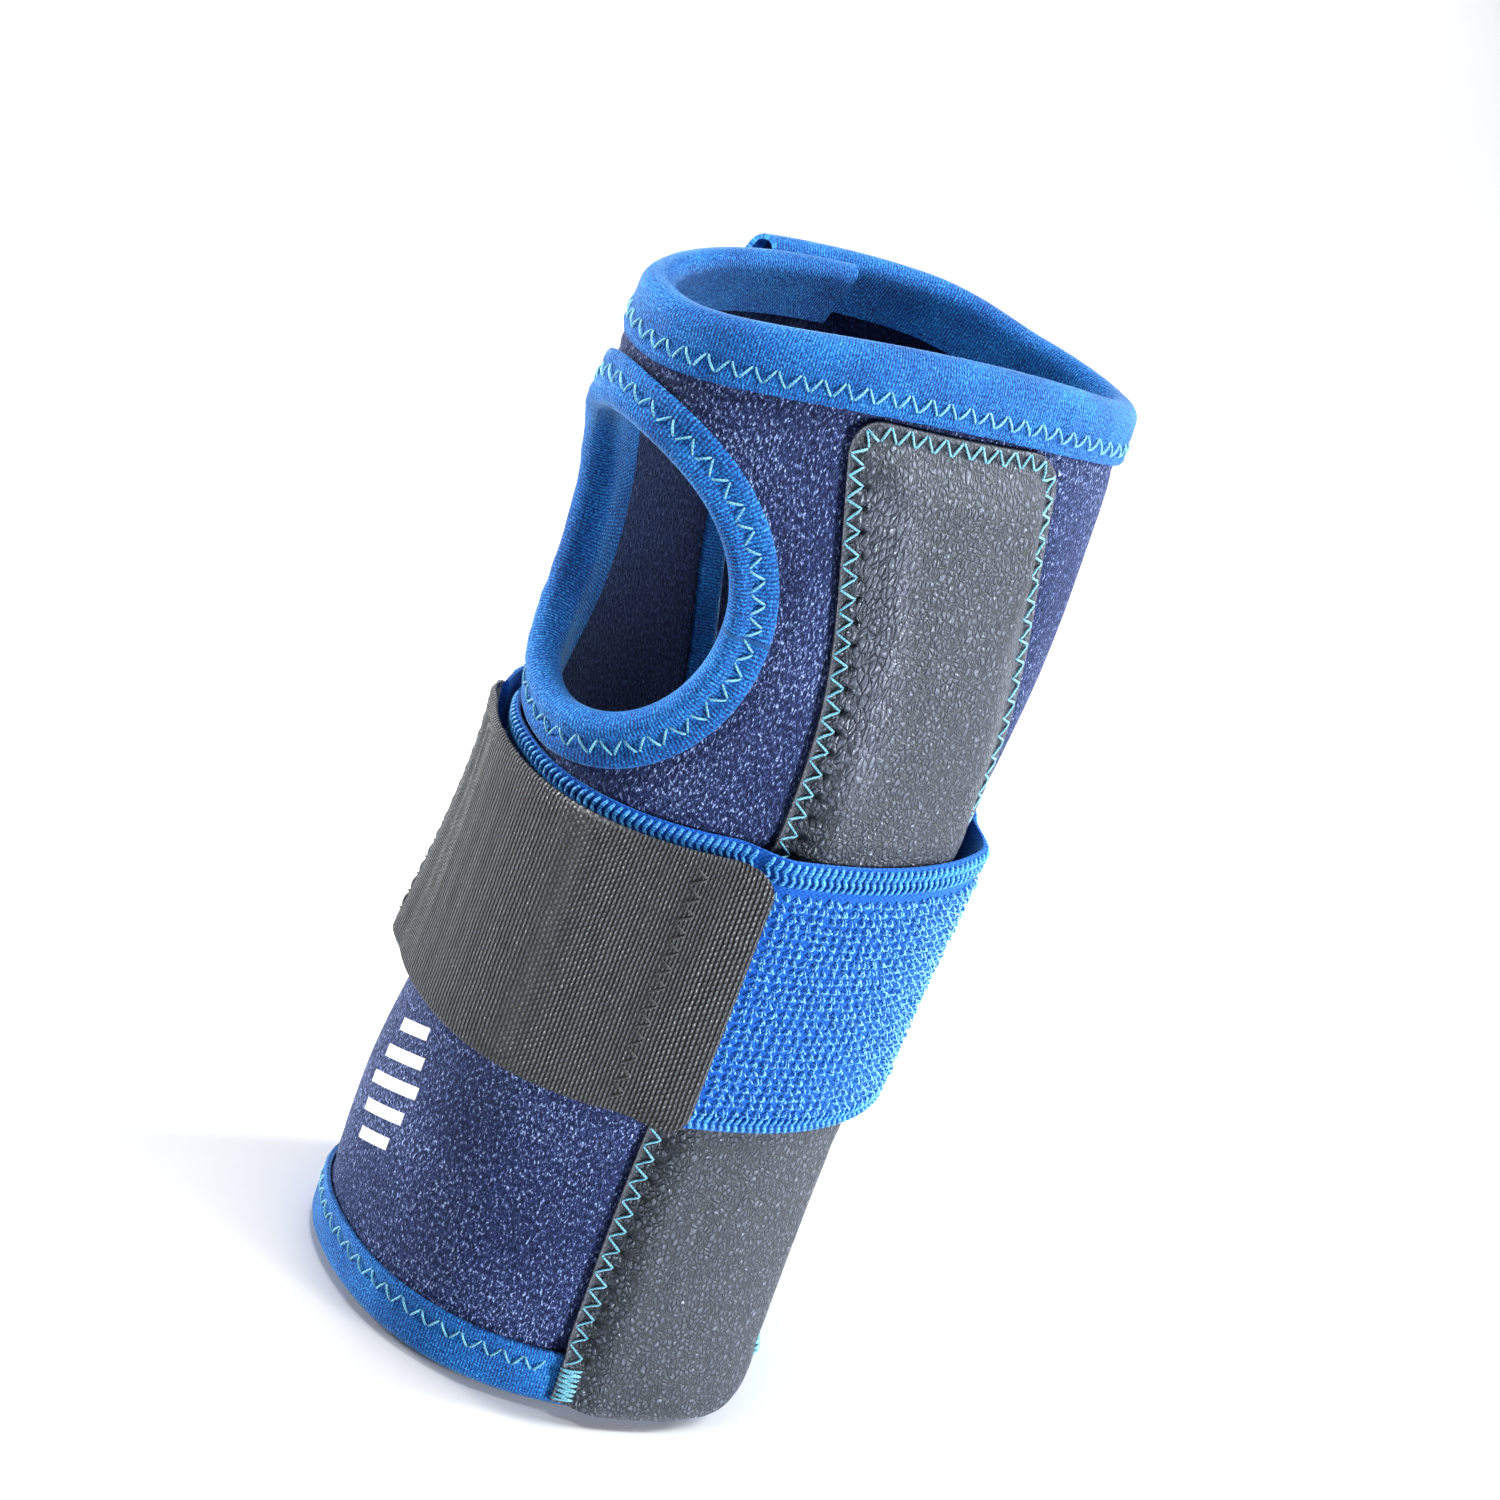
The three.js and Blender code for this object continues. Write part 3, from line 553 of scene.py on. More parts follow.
def tape_base():
    """knitted ground of the loop tape"""
    M = Mat("blue_loop_tape_ground", Sheen_Weight=.4, Sheen_Roughness=.4, Sheen_Tint=(.3, .75, 1, 1), Specular_IOR_Level=.3)
    x, y = M.split(M.uv(1, 1))
    w = M.noise(M.uv(.7, .7), 1, 2, .5)
    a = M.f("SINE", M.f("ADD", M.f("MULTIPLY", x, 2 * pi / .9), M.f("MULTIPLY", w, 3)))
    b = M.f("SINE", M.f("ADD", M.f("MULTIPLY", y, 2 * pi / .8), M.f("MULTIPLY", w, 3)))
    n = M.noise(M.uv(3, 3), 1, 3, .6)
    h = M.f("ADD", n, M.f("MULTIPLY", M.f("MULTIPLY", a, b), .15))
    col = M.ramp(h, [(.3, (.000, .040, .26)), (.5, (.001, .085, .45)), (.75, (.006, .17, .68))])
    return M.end(col, .85, M.bump(h, .25, .8))


tape = tape_base()


def ribbed_tab():
    """warp-knit face: 0.6 mm ribs parallel to the short ends, each made of short dashes; the bright dash tops in the
    colour are a painted highlight and the dark rib gaps painted shade
    """
    M = Mat("charcoal_ribbed_tab", Sheen_Weight=.05, Sheen_Roughness=.10, Sheen_Tint=(.92, .96, 1, 1), Specular_IOR_Level=.36)
    x, y = M.split(M.uv(1, 1))
    w = M.noise(M.uv(.25, .25), 1, 2, .5)
    xx = M.f("ADD", M.f("MULTIPLY", x, 1 / .62), M.f("MULTIPLY", w, .5))
    odd = M.f("MULTIPLY", M.f("MODULO", M.f("ADD", M.f("FLOOR", xx), 400), 2.0), .5)
    rib = M.f("ABSOLUTE", M.f("SINE", M.f("MULTIPLY", xx, pi)))
    dash = M.f("ABSOLUTE", M.f("SINE", M.f("MULTIPLY", M.f("ADD", M.f("MULTIPLY", y, 1 / 1.05), odd), pi)))
    n = M.noise(M.uv(3.2, 1.0), 1, 2, .7)
    h = M.f("MULTIPLY", M.f("POWER", rib, 1.4), M.f("ADD", M.f("MULTIPLY", dash, .38), .62))
    hh = M.f("ADD", h, M.f("MULTIPLY", n, .5))
    # painted shade in the rib gaps, painted highlight on the dash tops
    col = M.ramp(hh, [(.34, (.001, .001, .0015)), (.74, (.004, .004, .006)), (.97, (.020, .021, .030)), (1.0, (.10, .11, .13))])
    col = M.mix(M.f("MULTIPLY", M.attr("rub"), .3), col, (.06, .06, .07))
    return M.end(col, M.rng(h, 0, 1, .60, .17), M.bump(hh, .40, 1.0))


tab_mat = ribbed_tab()


def hook():
    M = Mat("grey_hook_tape", Specular_IOR_Level=.5)
    n = M.noise(M.uv(2.5, 2.5), 1, 2, .6)
    v = M.vor(M.uv(1 / 1.1, 1 / .8), "F1", .25)
    h = M.f("ADD", M.f("MULTIPLY", n, .4), M.f("SUBTRACT", 1.0, v))
    return M.end(M.ramp(h, [(.3, (.010, .011, .013)), (.9, (.055, .058, .065))]), M.rng(h, .2, 1, .6, .38), M.bump(h, .2, .8))


hook_mat = hook()


def metal():
    M = Mat("brushed_aluminium", Metallic=1.0)
    n = M.noise(M.uv(6, .06), 1, 3, .7)
    s = M.noise(M.uv(.12, .09), 1, 4, .6)
    return M.end(M.ramp(n, [(.3, (.52, .53, .55)), (.7, (.72, .73, .75))]), M.rng(s, .3, .7, .26, .42), M.bump(n, .03, .5))


stay_mat = metal()


def ink():
    M = Mat("white_print", Specular_IOR_Level=.3)
    n = M.noise(M.uv(2.4, 1.1), 1, 3, .6)
    return M.end(M.ramp(n, [(.33, (.46, .50, .66)), (.45, (.80, .82, .88))]), .62, M.bump(n, .12, .6))


ink_mat = ink()

MADE = {}


def done(o, body=None, nodes=(), blend=None):
    if blend:
        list(blend)
        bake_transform(o)
    else:
        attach(o, body)
    if nodes:
        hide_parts(*nodes)
    MADE[o.name] = o
    return o


AX = np.array([-0.0137, -0.0549, -0.9984])


def fold(phi, z, reach, off=-1.5):
    """start and end, in metres, of a bend across the tube at phi"""
    p = at(phi, z, off)
    t = at(phi + .02, z, off) - at(phi - .02, z, off)
    t /= np.linalg.norm(t)
    t = t - (t @ AX) * AX
    t /= np.linalg.norm(t)
    return dict(start=tuple((p - reach * t) * .001), end=tuple((p + reach * t) * .001))


F_SPLIT = fold(SPLIT, 83.0, 6.5)
F_TAB = fold(float(phi_of(2 * half(83.0) + fFlapCad(83.0) + 1.0, 83.0)), 83.0, 4.5, 7.5)


def bl(a, b, f):
    return (a, b, f["start"], f["end"])


# ---------------------------------------------------------------- neoprene panels
seamA = lambda z: (fSeamT(z) + fSeamL(z)) / 2 - 15
seamB = lambda z: (fSeamT(z) + fSeamL(z)) / 2 + 15


def panel_grid(sa, sb, nr, nc):
    w, u = np.linspace(0, 1, nr)[:, None], np.linspace(0, 1, nc)[None, :]
    z = lerp(1.8, 183.0, w) + 0 * u
    for _ in range(3):
        s = lerp(sa(z), sb(z), u); ph = phi_of(s, z); z = lerp(1.8, hand_hem(ph) - 1.8, w)
    s = lerp(sa(z), sb(z), u)
    return s, z, phi_of(s, z)


def jersey_face(s, z, ph, flap=False):
    """how the outer face leaves the plain tube: dips at seams and bindings, swells beside the strap"""
    hem = hand_hem(ph)
    d = .20 * vnoise(s / 17, z / 24, 1) + .07 * vnoise(s / 5, z / 6, 2)
    d = d - .35 * bell(z - 11.4, 1.5) - .35 * bell(hem - 10.9 - z, 1.5)
    d = d + .14 * np.cos(2 * pi * s / 3.7) * np.exp(-np.maximum(z - 10.5, 0) / 2.2) + .14 * np.cos(2 * pi * s / 3.7) * np.exp(-np.maximum(hem - 10 - z, 0) / 2.2)
    lo, hi = strap_low(ph), strap_high(ph)
    inside = smooth((z - lo) / 2) * smooth((hi - z) / 2)
    d = d - .35 * inside + .42 * bell(z - hi - 3.2, 2.6) + .42 * bell(lo - 3.2 - z, 2.6)
    if not flap:
        de = np.maximum(fSeamT(z) - s, s - fSeamL(z))
        row = smooth((178 - z) / 4)
        d = d + row * (-.50 * bell(de - .2, 1.1) + .22 * bell(de - 4.5, 2.5)) * (de > -3)
        d = d + row * .10 * np.cos(2 * pi * z / 3.5) * np.exp(-np.abs(de) / 2.5)
        e = hole_e(s, z)
        d = d - .40 * bell(e - 9.3, 1.2) + .25 * bell(e - 12.5, 2.4)
    return d


def thumb_panel():
    s, z, ph = panel_grid(lambda z: UNDERLAP_S + 1.8 + 0 * z, lambda z: seamA(z) - .15, 151, 101)
    e = hole_e(s, z)
    keep = (e[:-1, :-1] > 2.0) & (e[1:, :-1] > 2.0) & (e[:-1, 1:] > 2.0) & (e[1:, 1:] > 2.0)
    near = np.zeros(s.shape, bool)                        # rim of the cut: pull it onto the opening's outline
    cut = ~keep
    for a, b in ((0, 0), (1, 0), (0, 1), (1, 1)):
        near[a:s.shape[0] - 1 + a, b:s.shape[1] - 1 + b] |= cut
    near &= e > 2.0
    t = np.arctan2((z - HOLE_Z) / np.where(z > HOLE_Z, HOLE_RZ_HIGH, HOLE_RZ_LOW), (s - HOLE_S) / HOLE_RS)
    rz = np.where(np.sin(t) > 0, HOLE_RZ_HIGH, HOLE_RZ_LOW)
    s = np.where(near, HOLE_S + (HOLE_RS + 2.0) * np.cos(t), s); z = np.where(near, HOLE_Z + (rz + 2.0) * np.sin(t), z)
    ph = phi_of(s, z)
    out = jersey_face(s, z, ph) * (e > 3)
    PO, PI = at(ph, z, out), at(ph, z, -NEOPRENE)
    o = closed_grid(Buf(), PO, PI, s, z, keep).build("thumb_side_cloth", [navy, lining])
    done(o, "brace", ["thumb_side_panel"])


def plain_panel(name, sa, sb, nc, node):
    s, z, ph = panel_grid(sa, sb, 151, nc)
    PO, PI = at(ph, z, jersey_face(s, z, ph)), at(ph, z, -NEOPRENE)
    o = closed_grid(Buf(), PO, PI, s, z).build(name, [navy, lining])
    done(o, "brace", [node])


def flap_panel():
    s, z, ph = panel_grid(lambda z: seamB(z) + .15, lambda z: 2 * half(z) + fFlap(z) - 1.8, 151, 121)
    inn = flap_in(ph)
    PO, PI = at(ph, z, inn + NEOPRENE + jersey_face(s, z, ph)), at(ph, z, inn)
    o = closed_grid(Buf(), PO, PI, s, z).build("little_finger_side_and_flap_cloth", [navy, lining])
    done(o, nodes=["little_finger_side_panel", "dorsal_flap_panel"], blend=bl("brace", "dorsal_flap", F_SPLIT))


# ---------------------------------------------------------------- bindings
def u_profile(width, lo, hi, stitch, g=BIND_GAP, t=BIND, puff=.32, roll=2.3):
    """points (d, o) of a folded tape, outer path then inner path back, with the path length across it"""
    mid, hh = (hi + lo) / 2, (hi - lo) / 2 + g + t
    out, inn = [], []
    for d in np.linspace(width, roll, 6)[:-1]:
        out.append((d, -1, 0)); inn.append((d, -1, 0))
    arcs = np.linspace(-pi / 2, pi / 2, 11)
    for a in arcs:
        out.append((a, 0, 1)); inn.append((a, 0, 1))
    for d in np.linspace(roll, width, 12)[1:]:
        out.append((d, 1, 0)); inn.append((d, 1, 0))

    def prof(d):
        body = puff * np.sin(pi * np.clip((d + .8) / (stitch + .4), 0, 1)) - .30 * bell(d - stitch, 1.0) + .12 * bell(d - (stitch + 2.0), .9)
        return body - .25 * smooth((d - width + .5) / .5)
    O = []
    for (a, side, arc) in out:
        if arc: O.append((roll * (1 - math.cos(a)), mid + hh * math.sin(a) + (prof(roll * (1 - math.cos(a))) if a > .3 else 0) * min(1, max(0, (a - .3) / 1.2))))
        elif side < 0: O.append((a, lo - g - t))
        else: O.append((a, hi + g + t + prof(a)))
    I = []
    for (a, side, arc) in inn:
        if arc: I.append((roll - (roll - .95) * math.cos(a), mid + (hh - t) * math.sin(a)))
        elif side < 0: I.append((a, lo - g))
        else: I.append((a, hi + g + min(0, prof(a)) * .6))
    O, I = np.array(O), np.array(I)
    pts = np.concatenate([O, I[::-1]])
    L = np.concatenate([[0], np.cumsum(np.hypot(*np.diff(O, axis=0).T))])
    return pts, np.concatenate([L, L[::-1]])


def pucker(q, d, stitch, seed):
    """small gathers between the stitches"""
    return (.10 * np.cos(2 * pi * q / 3.7) * bell(d - stitch, 2.2) + .12 * vnoise(q / 2.6, d / 3, seed) + .10 * vnoise(q / 9, d / 8, seed + 1)) * smooth(d / 1.5)


def hem_binding(name, sa, sb, low, flap, nodes, blend, part=None):
    width, zn = (HEM_LOW, 5.0) if low else (HEM_HIGH, 178.0)
    stitch = 7.6 if low else 7.2
    a, b = float(sa(np.float64(zn))), float(sb(np.float64(zn)))
    n = max(8, int(abs(b - a) / .8))
    q = np.linspace(a, b, n + 1)
    ph0 = phi_of(q, zn)
    lo = flap_in(ph0) if flap else -NEOPRENE + 0 * q
    edge = np.zeros(n + 1) if low else hand_hem(ph0)
    secs = []
    for i in range(n + 1):
        pts, L = u_profile(width, lo[i], lo[i] + NEOPRENE, stitch)
        d, o = pts[:, 0], pts[:, 1].copy()
        top = o > lo[i] + NEOPRENE + .3
        o = o + top * pucker(q[i], d, stitch, 3 if low else 5)
        if low and not flap or (low and flap):
            under = smooth((q[i] + 13) / 3) * smooth((38 - q[i]) / 3)     # flat where the pocket and the stay pass over
            o = np.where(top, lerp(o, np.minimum(o, lo[i] + NEOPRENE + BIND_GAP + BIND), under), o)
        z = edge[i] + d if low else edge[i] - d
        u = (q[i] - a) / (b - a)
        s = lerp(sa(z), sb(z), u)
        secs.append(at(phi_of(s, z), z, o))
    o = sweep(Buf(), np.array(secs), q, L).build(name, [binding], 60)
    done(o, None if blend else "brace", nodes, blend=blend)
    return o


def edge_binding(name, s_edge, dirn, flap, node, body, mat=None):
    zz = np.linspace(HEM_LOW + .5, 168, 180)
    secs = []
    for z in zz:
        s0 = float(s_edge(np.float64(z)))
        lo = float(flap_in(phi_of(s0, z))) if flap else -NEOPRENE
        pts, L = u_profile(6, lo, lo + NEOPRENE, 4.2, puff=.25, roll=2.0)
        d, o = pts[:, 0], pts[:, 1].copy()
        top = o > lo + NEOPRENE + .3
        o = o + top * pucker(z, d, 4.2, 8) * .6
        s = s0 + dirn * d
        secs.append(at(phi_of(s, z + 0 * s), z + 0 * s, o))
    o = sweep(Buf(), np.array(secs), zz, L).build(name, [mat or binding], 60)
    done(o, body, [node])


def hole_binding():
    n = 260
    t = np.linspace(0, 2 * pi, n, endpoint=False)
    rz = np.where(np.sin(t) > 0, HOLE_RZ_HIGH, HOLE_RZ_LOW)
    arc = np.cumsum(np.hypot(HOLE_RS * np.sin(t), rz * np.cos(t))) * 2 * pi / n
    pts, L = u_profile(HOLE_BIND, -NEOPRENE, 0, 5.2, g=HOLE_GAP, puff=.55, roll=2.8)
    d, o = pts[None, :, 0] + 0 * t[:, None], pts[None, :, 1] + 0 * t[:, None]
    o = o + (o > .5) * pucker(arc[:, None], d, 5.2, 11)
    z = HOLE_Z + (rz[:, None] + d) * np.sin(t)[:, None]
    s = HOLE_S + (HOLE_RS + d) * np.cos(t)[:, None]
    ob = sweep(Buf(), at(phi_of(s, z), z, o), arc, L, ring=True).build("thumb_opening_binding", [binding], 60)
    done(ob, "brace", ["thumb_hole_binding"])


# ---------------------------------------------------------------- pocket cover, its stitches and the stay
NEEDLES, ENDS = {}, {}


def pocket_edge_off(z):
    return lerp(.95, 2.25, 1 - smooth((z - 9.5) / 5))


def pocket_face(s, z):
    dl, dr, dt = s - pocket_seam(z, -1), pocket_seam(z, 1) - s, POCKET_Z[1] - z
    d = np.minimum(np.minimum(dl, dr), dt)
    edge = pocket_edge_off(z)
    top = POCKET_RISE + np.where(z < 30, (30 - z) / 100, 0)
    wl, wr = lerp(6.2, 9.5, smooth((z - 132) / 16)), lerp(10.5, 6.0, smooth((z - 140) / 20))
    f = lerp(edge, top, smooth((dl - 1.2) / wl) * smooth((dr - 1.2) / wr) * smooth((dt - 1.2) / 8.5))
    return f - .30 * bell(d - 1.5, .9) * smooth((z - 11) / 3), d


def pocket():
    zz = np.concatenate([np.arange(POCKET_Z[0], POCKET_Z[1] - 7, .42), np.linspace(POCKET_Z[1] - 7, POCKET_Z[1], 26)])
    cols = 104
    uu = graded(0, 1, 1 / 70, 1 / 150, .11)
    S = np.empty((len(zz), len(uu))); Z = np.repeat(zz[:, None], len(uu), 1)
    sl, sr = pocket_seam(zz, -1), pocket_seam(zz, 1)
    S = lerp(sl[:, None], sr[:, None], uu[None, :])
    out, d = pocket_face(S, Z)
    hand = smooth((Z - 112) / 14) * smooth((170 - Z) / 8)
    left = np.clip(S - fSeamT(Z), 0, 99)
    wr = hand * smooth((left - 1.8) / 2) * smooth((15 - left) / 9)
    grooves = np.abs(vnoise(S / 2.1 + .25 * vnoise(S / 5, Z / 7, 21), Z / 11, 22)) ** .6
    out = out - .26 * wr * (1 - grooves)
    out = out + .16 * vnoise(S / 9, Z / 20, 23) * smooth((d - 2) / 4) + .05 * vnoise(S / 2.4, Z / 3.4, 24) * smooth(d / 3)
    out = out - .10 * np.cos(2 * pi * Z / 3.5) * bell(d - 3.8, 1.6)
    lo, hi = strap_low(phi_of(S, Z)), strap_high(phi_of(S, Z))
    out = out - .3 * smooth((Z - lo) / 2) * smooth((hi - Z) / 2) + .20 * bell(Z - hi - 3, 2.2) + .20 * bell(lo - 3 - Z, 2.2)
    pts = np.concatenate([NEEDLES["pocket_l"], NEEDLES["pocket_r"]])
    # needle holes: pressed in as geometry below, and also painted dark in the colour as shade
    pit = pits(S, Z, pts, .58)
    out = out - .75 * pit
    inn = np.maximum(np.where(Z < 12, 1.25, .2), out - .85)
    crease = np.clip(wr * 1.1, 0, 1)
    rub = bell(d, .7) + .6 * bell(Z - POCKET_Z[0], 1.0)
    o = closed_grid(Buf(), on(S, Z, out), on(S, Z, inn), S, Z, m_in=0, pit=np.clip(pit * 2.2, 0, 1), crease=crease, rub=np.clip(rub, 0, 1)).build("stay_pocket_leatherette", [leatherette])
    done(o, "brace", ["stay_pocket_cover"])


def stay():
    th = lambda z: (z - ARC_Z) / ARC_RADIUS
    xm, hw = sum(STAY_X) / 2, (STAY_X[1] - STAY_X[0]) / 2
    u = np.linspace(-1, 1, 41)
    u = np.sign(u) * (1 - (1 - np.abs(u)) ** 1.5)
    x = xm + hw * u
    e = np.maximum(0, np.abs(x - xm) - (hw - STAY_ROUND))
    trim = STAY_ROUND - np.sqrt(np.maximum(0, STAY_ROUND ** 2 - e * e))
    w = np.linspace(0, 1, 121)[:, None]
    z0, z1 = STAY_Z[0] + trim, STAY_Z[1] - 4 - trim       # the strip stops where the cover starts to close down
    a = lerp(th(z0)[None], th(z1)[None], w)
    ends = np.minimum(w, 1 - w) * (z1 - z0)[None]
    edge = np.minimum(np.minimum(hw - np.abs(x - xm), 99)[None] + 0 * w, ends)
    soft = .30 * (1 - smooth(edge / .7))
    rise = .0075 * (x - .5) ** 2

    def p(off):
        rho = ARC_RADIUS - rise[None] + off
        X = np.broadcast_to(x[None] + SHIFT_X, rho.shape)
        return np.stack([X, PALM_Y + ARC_RADIUS - rho * np.cos(a) + SHIFT_Y, ARC_Z + rho * np.sin(a)], -1)
    PO, PI = p(STAY_OFF[1] - soft), p(STAY_OFF[0] + soft)
    o = closed_grid(Buf(), PO, PI, np.broadcast_to(x[None], a.shape), ARC_RADIUS * a, m_in=0).build("palmar_stay_strip", [stay_mat], 40)
    done(o, "stay", ["palmar_stay"])


def along(fn):
    """unit direction across a seam given by s = fn(z)"""
    def g(z):
        k = (fn(z + .5) - fn(z - .5))
        L = np.hypot(k, 1)
        return 1 / L, -k / L
    return g


def stitches():
    leather_base = lambda s, z: pocket_face(s, z)[0]
    rows = []
    for side, key, node in ((-1, "pocket_l", "pocket_stitch_thumb_side"), (1, "pocket_r", "pocket_stitch_little_finger_side")):
        fn = (lambda sd: (lambda z: pocket_seam(z, sd) - sd * 1.55))(side)
        top = 168.0
        z0 = 9.6 if side < 0 else 16.2
        s, z, o, pts = zigzag((z0, top), lambda q: (fn(q), q), along(fn), 3.5, 2.75, leather_base, seed=side + 2)
        inner = pts[(pts[:, 0] - pocket_seam(pts[:, 1], side)) * -side > 1.5]        # the inner needle points, in the leather
        NEEDLES[key] = inner + np.array([-side * .38, 0])
        ENDS[side] = pts[-1]
        ob = thread(Buf(), s, z, o, .21).build(node + "_thread", [thread_mat], 0)
        done(ob, "brace", [node])
    # the seam turns the rounded corners and runs along the pocket's top, from one side row's last needle to the other's
    R = POCKET_ROUND
    zc, ri = POCKET_Z[1] - R, R - 1.55
    ang = np.linspace(0, pi / 2, 24)
    zl, zr = np.linspace(ENDS[-1][1], zc, 6)[:-1], np.linspace(ENDS[1][1], zc, 6)[:-1]
    zz = zc + ri * np.sin(ang)
    left = np.stack([np.concatenate([fSeamT(zl) + 1.55, fSeamT(zz) + R - ri * np.cos(ang)]), np.concatenate([zl, zz])], 1)
    right = np.stack([np.concatenate([fSeamL(zr) - 1.55, fSeamL(zz) - R + ri * np.cos(ang)]), np.concatenate([zr, zz])], 1)
    mid_ = np.stack([np.linspace(left[-1, 0], right[-1, 0], 22), np.full(22, zc + ri)], 1)[1:-1]
    path = np.concatenate([left, mid_, right[::-1]])
    run = np.concatenate([[0], np.cumsum(np.hypot(*np.diff(path, axis=0).T))])
    tan = np.gradient(path, axis=0); tan /= np.linalg.norm(tan, axis=1, keepdims=True)
    put = lambda q, col: np.interp(q, run, col)
    out_l = ENDS[-1][0] < pocket_seam(ENDS[-1][1], -1) + 1.55           # does the left row end on its outer side?
    out_r = ENDS[1][0] > pocket_seam(ENDS[1][1], 1) - 1.55
    b = Buf()
    s, z, o, _ = zigzag((0, run[-1]), lambda q: (put(q, path[:, 0]), put(q, path[:, 1])), lambda q: (-put(q, tan[:, 1]), put(q, tan[:, 0])),
                        3.4, 2.75, leather_base, seed=14, fit=2 if out_r else 1, phase=1 if out_l else 0)
    thread(b, s, z, o, .21)
    ob = b.build("pocket_top_thread", [thread_mat], 0)
    done(ob, "brace")
    # bar-tacks at the mouth
    for side, node in ((-1, "pocket_bartack_thumb_side"), (1, "pocket_bartack_little_finger_side")):
        z0 = 2.9 if side < 0 else 9.4
        fn = (lambda sd: (lambda z: pocket_seam(z, sd) - sd * 1.7))(side)
        s, z, o, _ = zigzag((z0, z0 + 6.6), lambda q: (fn(q), q), along(fn), .98, 3.6, leather_base, seed=20 + side, up=.42, down=.3)
        ob = thread(Buf(), s, z, o, .23).build(node + "_thread", [thread_mat], 0)
        done(ob, "brace", [node])
    # thumb opening
    n = int(round(2 * pi * 28.5 / 4.0))
    per, pitch = 7, 2 * pi / n
    rng = np.random.default_rng(5)
    k = np.arange(2 * n)
    t = k * pitch / 2 + rng.uniform(-.06, .06, 2 * n) * pitch / 2
    d = 5.2 + np.where(k % 2, 1, -1) * 1.4 * (1 + rng.uniform(-.08, .08, 2 * n))
    t, d = np.append(t, 2 * pi), np.append(d, d[0])
    w = np.linspace(0, 1, per)[:-1]
    T = np.append((t[:-1, None] * (1 - w) + t[1:, None] * w).ravel(), 2 * pi + .01)
    D = np.append((d[:-1, None] * (1 - w) + d[1:, None] * w).ravel(), d[0])
    lift = np.append(np.tile(-.4 + .78 * np.sin(pi * w) ** .55, 2 * n), -.4)
    rz = np.where(np.sin(T) > 0, HOLE_RZ_HIGH, HOLE_RZ_LOW)
    z = HOLE_Z + (rz + D) * np.sin(T); s = HOLE_S + (HOLE_RS + D) * np.cos(T)
    ob = thread(Buf(), s, z, HOLE_GAP + BIND - .12 + lift, .20).build("thumb_opening_thread", [thread_mat], 0)
    done(ob, "brace", ["thumb_hole_stitch"])
    # hems: a zigzag round the whole hem, split into the same pieces as the cloth
    bt = BIND_GAP + BIND - .12

    def hem(name, q, low, nodes, blend=None, flap=False, seed=30, fit=False):
        def centre(qq):
            zn = 5.0 if low else 178.0
            ph = phi_of(qq, zn)
            return qq, (7.6 + 0 * qq if low else hand_hem(ph) - 7.2)
        base = lambda s, z: bt + ((flap_in(phi_of(s, z)) + NEOPRENE) if flap else 0)
        s, z, o, _ = zigzag(q, centre, lambda qq: (0 * qq, 1 + 0 * qq), 3.7, 2.7, base, seed=seed, fit=fit)
        ob = thread(Buf(), s, z, o, .20).build(name, [thread_mat], 0)
        done(ob, None if blend else "brace", nodes, blend=blend)
    H0, H1 = float(half(5.0)), float(half(178.0))
    hem("forearm_hem_thread", (UNDERLAP_S + 1, float(fSeamT(7.6)) - 1.0), True, ["forearm_hem_stitch"])
    hem("forearm_hem_thread_little_finger_side", (float(pocket_seam(np.float64(7.6), 1)) + 1.6, 2 * H0 + float(fFlap(5.0)) - 1), True, ["forearm_hem_stitch_little_finger_side"], bl("brace", "dorsal_flap", F_SPLIT), True, 31)
    hem("hand_hem_thread", (UNDERLAP_S + 1, 3.0), False, ["hand_hem_stitch"], seed=32, fit=1)
    hem("hand_hem_thread_little_finger_side", (3.0, 2 * H1 + float(fFlap(178.0)) - 1), False, [], bl("brace", "dorsal_flap", F_SPLIT), True, 33, fit=1)
    # upright edges of the dorsal closure
    for name, fn, flap, body, sd in (("underlap_edge_thread", lambda z: UNDERLAP_S + 4.2 + 0 * z, False, "brace", 40), ("flap_edge_thread", lambda z: 2 * half(z) + fFlap(z) - 4.2, True, "dorsal_flap", 41)):
        base = lambda s, z, flap=flap: bt + ((flap_in(phi_of(s, z)) + NEOPRENE) if flap else 0)
        s, z, o, _ = zigzag((12.5, 167), lambda q, fn=fn: (fn(q), q), lambda q: (1 + 0 * q, 0 * q), 3.7, 2.3, base, seed=sd)
        ob = thread(Buf(), s, z, o, .20).build(name, [thread_mat if body == "brace" else navy_thread], 0)
        done(ob, body)


# ---------------------------------------------------------------- loop tape strap
def strap_ground(name, s0, s1, inn, thick, nrows=81):
    """one stretch of the tape: s0 and s1 are functions of z"""
    n = max(4, int((float(s1(83.0)) - float(s0(83.0))) / .8))
    w, u = np.linspace(0, 1, nrows)[:, None], np.linspace(0, 1, n + 1)[None, :]
    z = lerp(STRAP_Z[0], STRAP_Z[1], w) + 0 * u
    for _ in range(3):
        s = lerp(s0(z), s1(z), u); ph = phi_of(s, z); z = lerp(strap_low(ph), strap_high(ph), w)
    v = w * (STRAP_Z[1] - STRAP_Z[0]) + 0 * u
    edge = np.minimum(v, 48 - v)
    i = inn(s, z, ph) + .16 * vnoise(s / 14, z / 18, 51)
    o = i + thick - .45 * (1 - smooth(edge / 1.1)) + .05 * vnoise(s / 2, z / 2, 52)
    i = i + .25 * (1 - smooth(edge / 1.1))
    return s, z, ph, v, i, o


def lay(s, v, inn, thick):
    """a point of the tape's face: s, v up the tape (0 to 48), height above the ground"""
    z = STRAP_Z[0] + v
    for _ in range(3):
        ph = phi_of(s, z); z = STRAP_Z[0] + v + STRAP_TILT * np.sin(ph)
    return z, ph, inn(s, z, ph) + thick


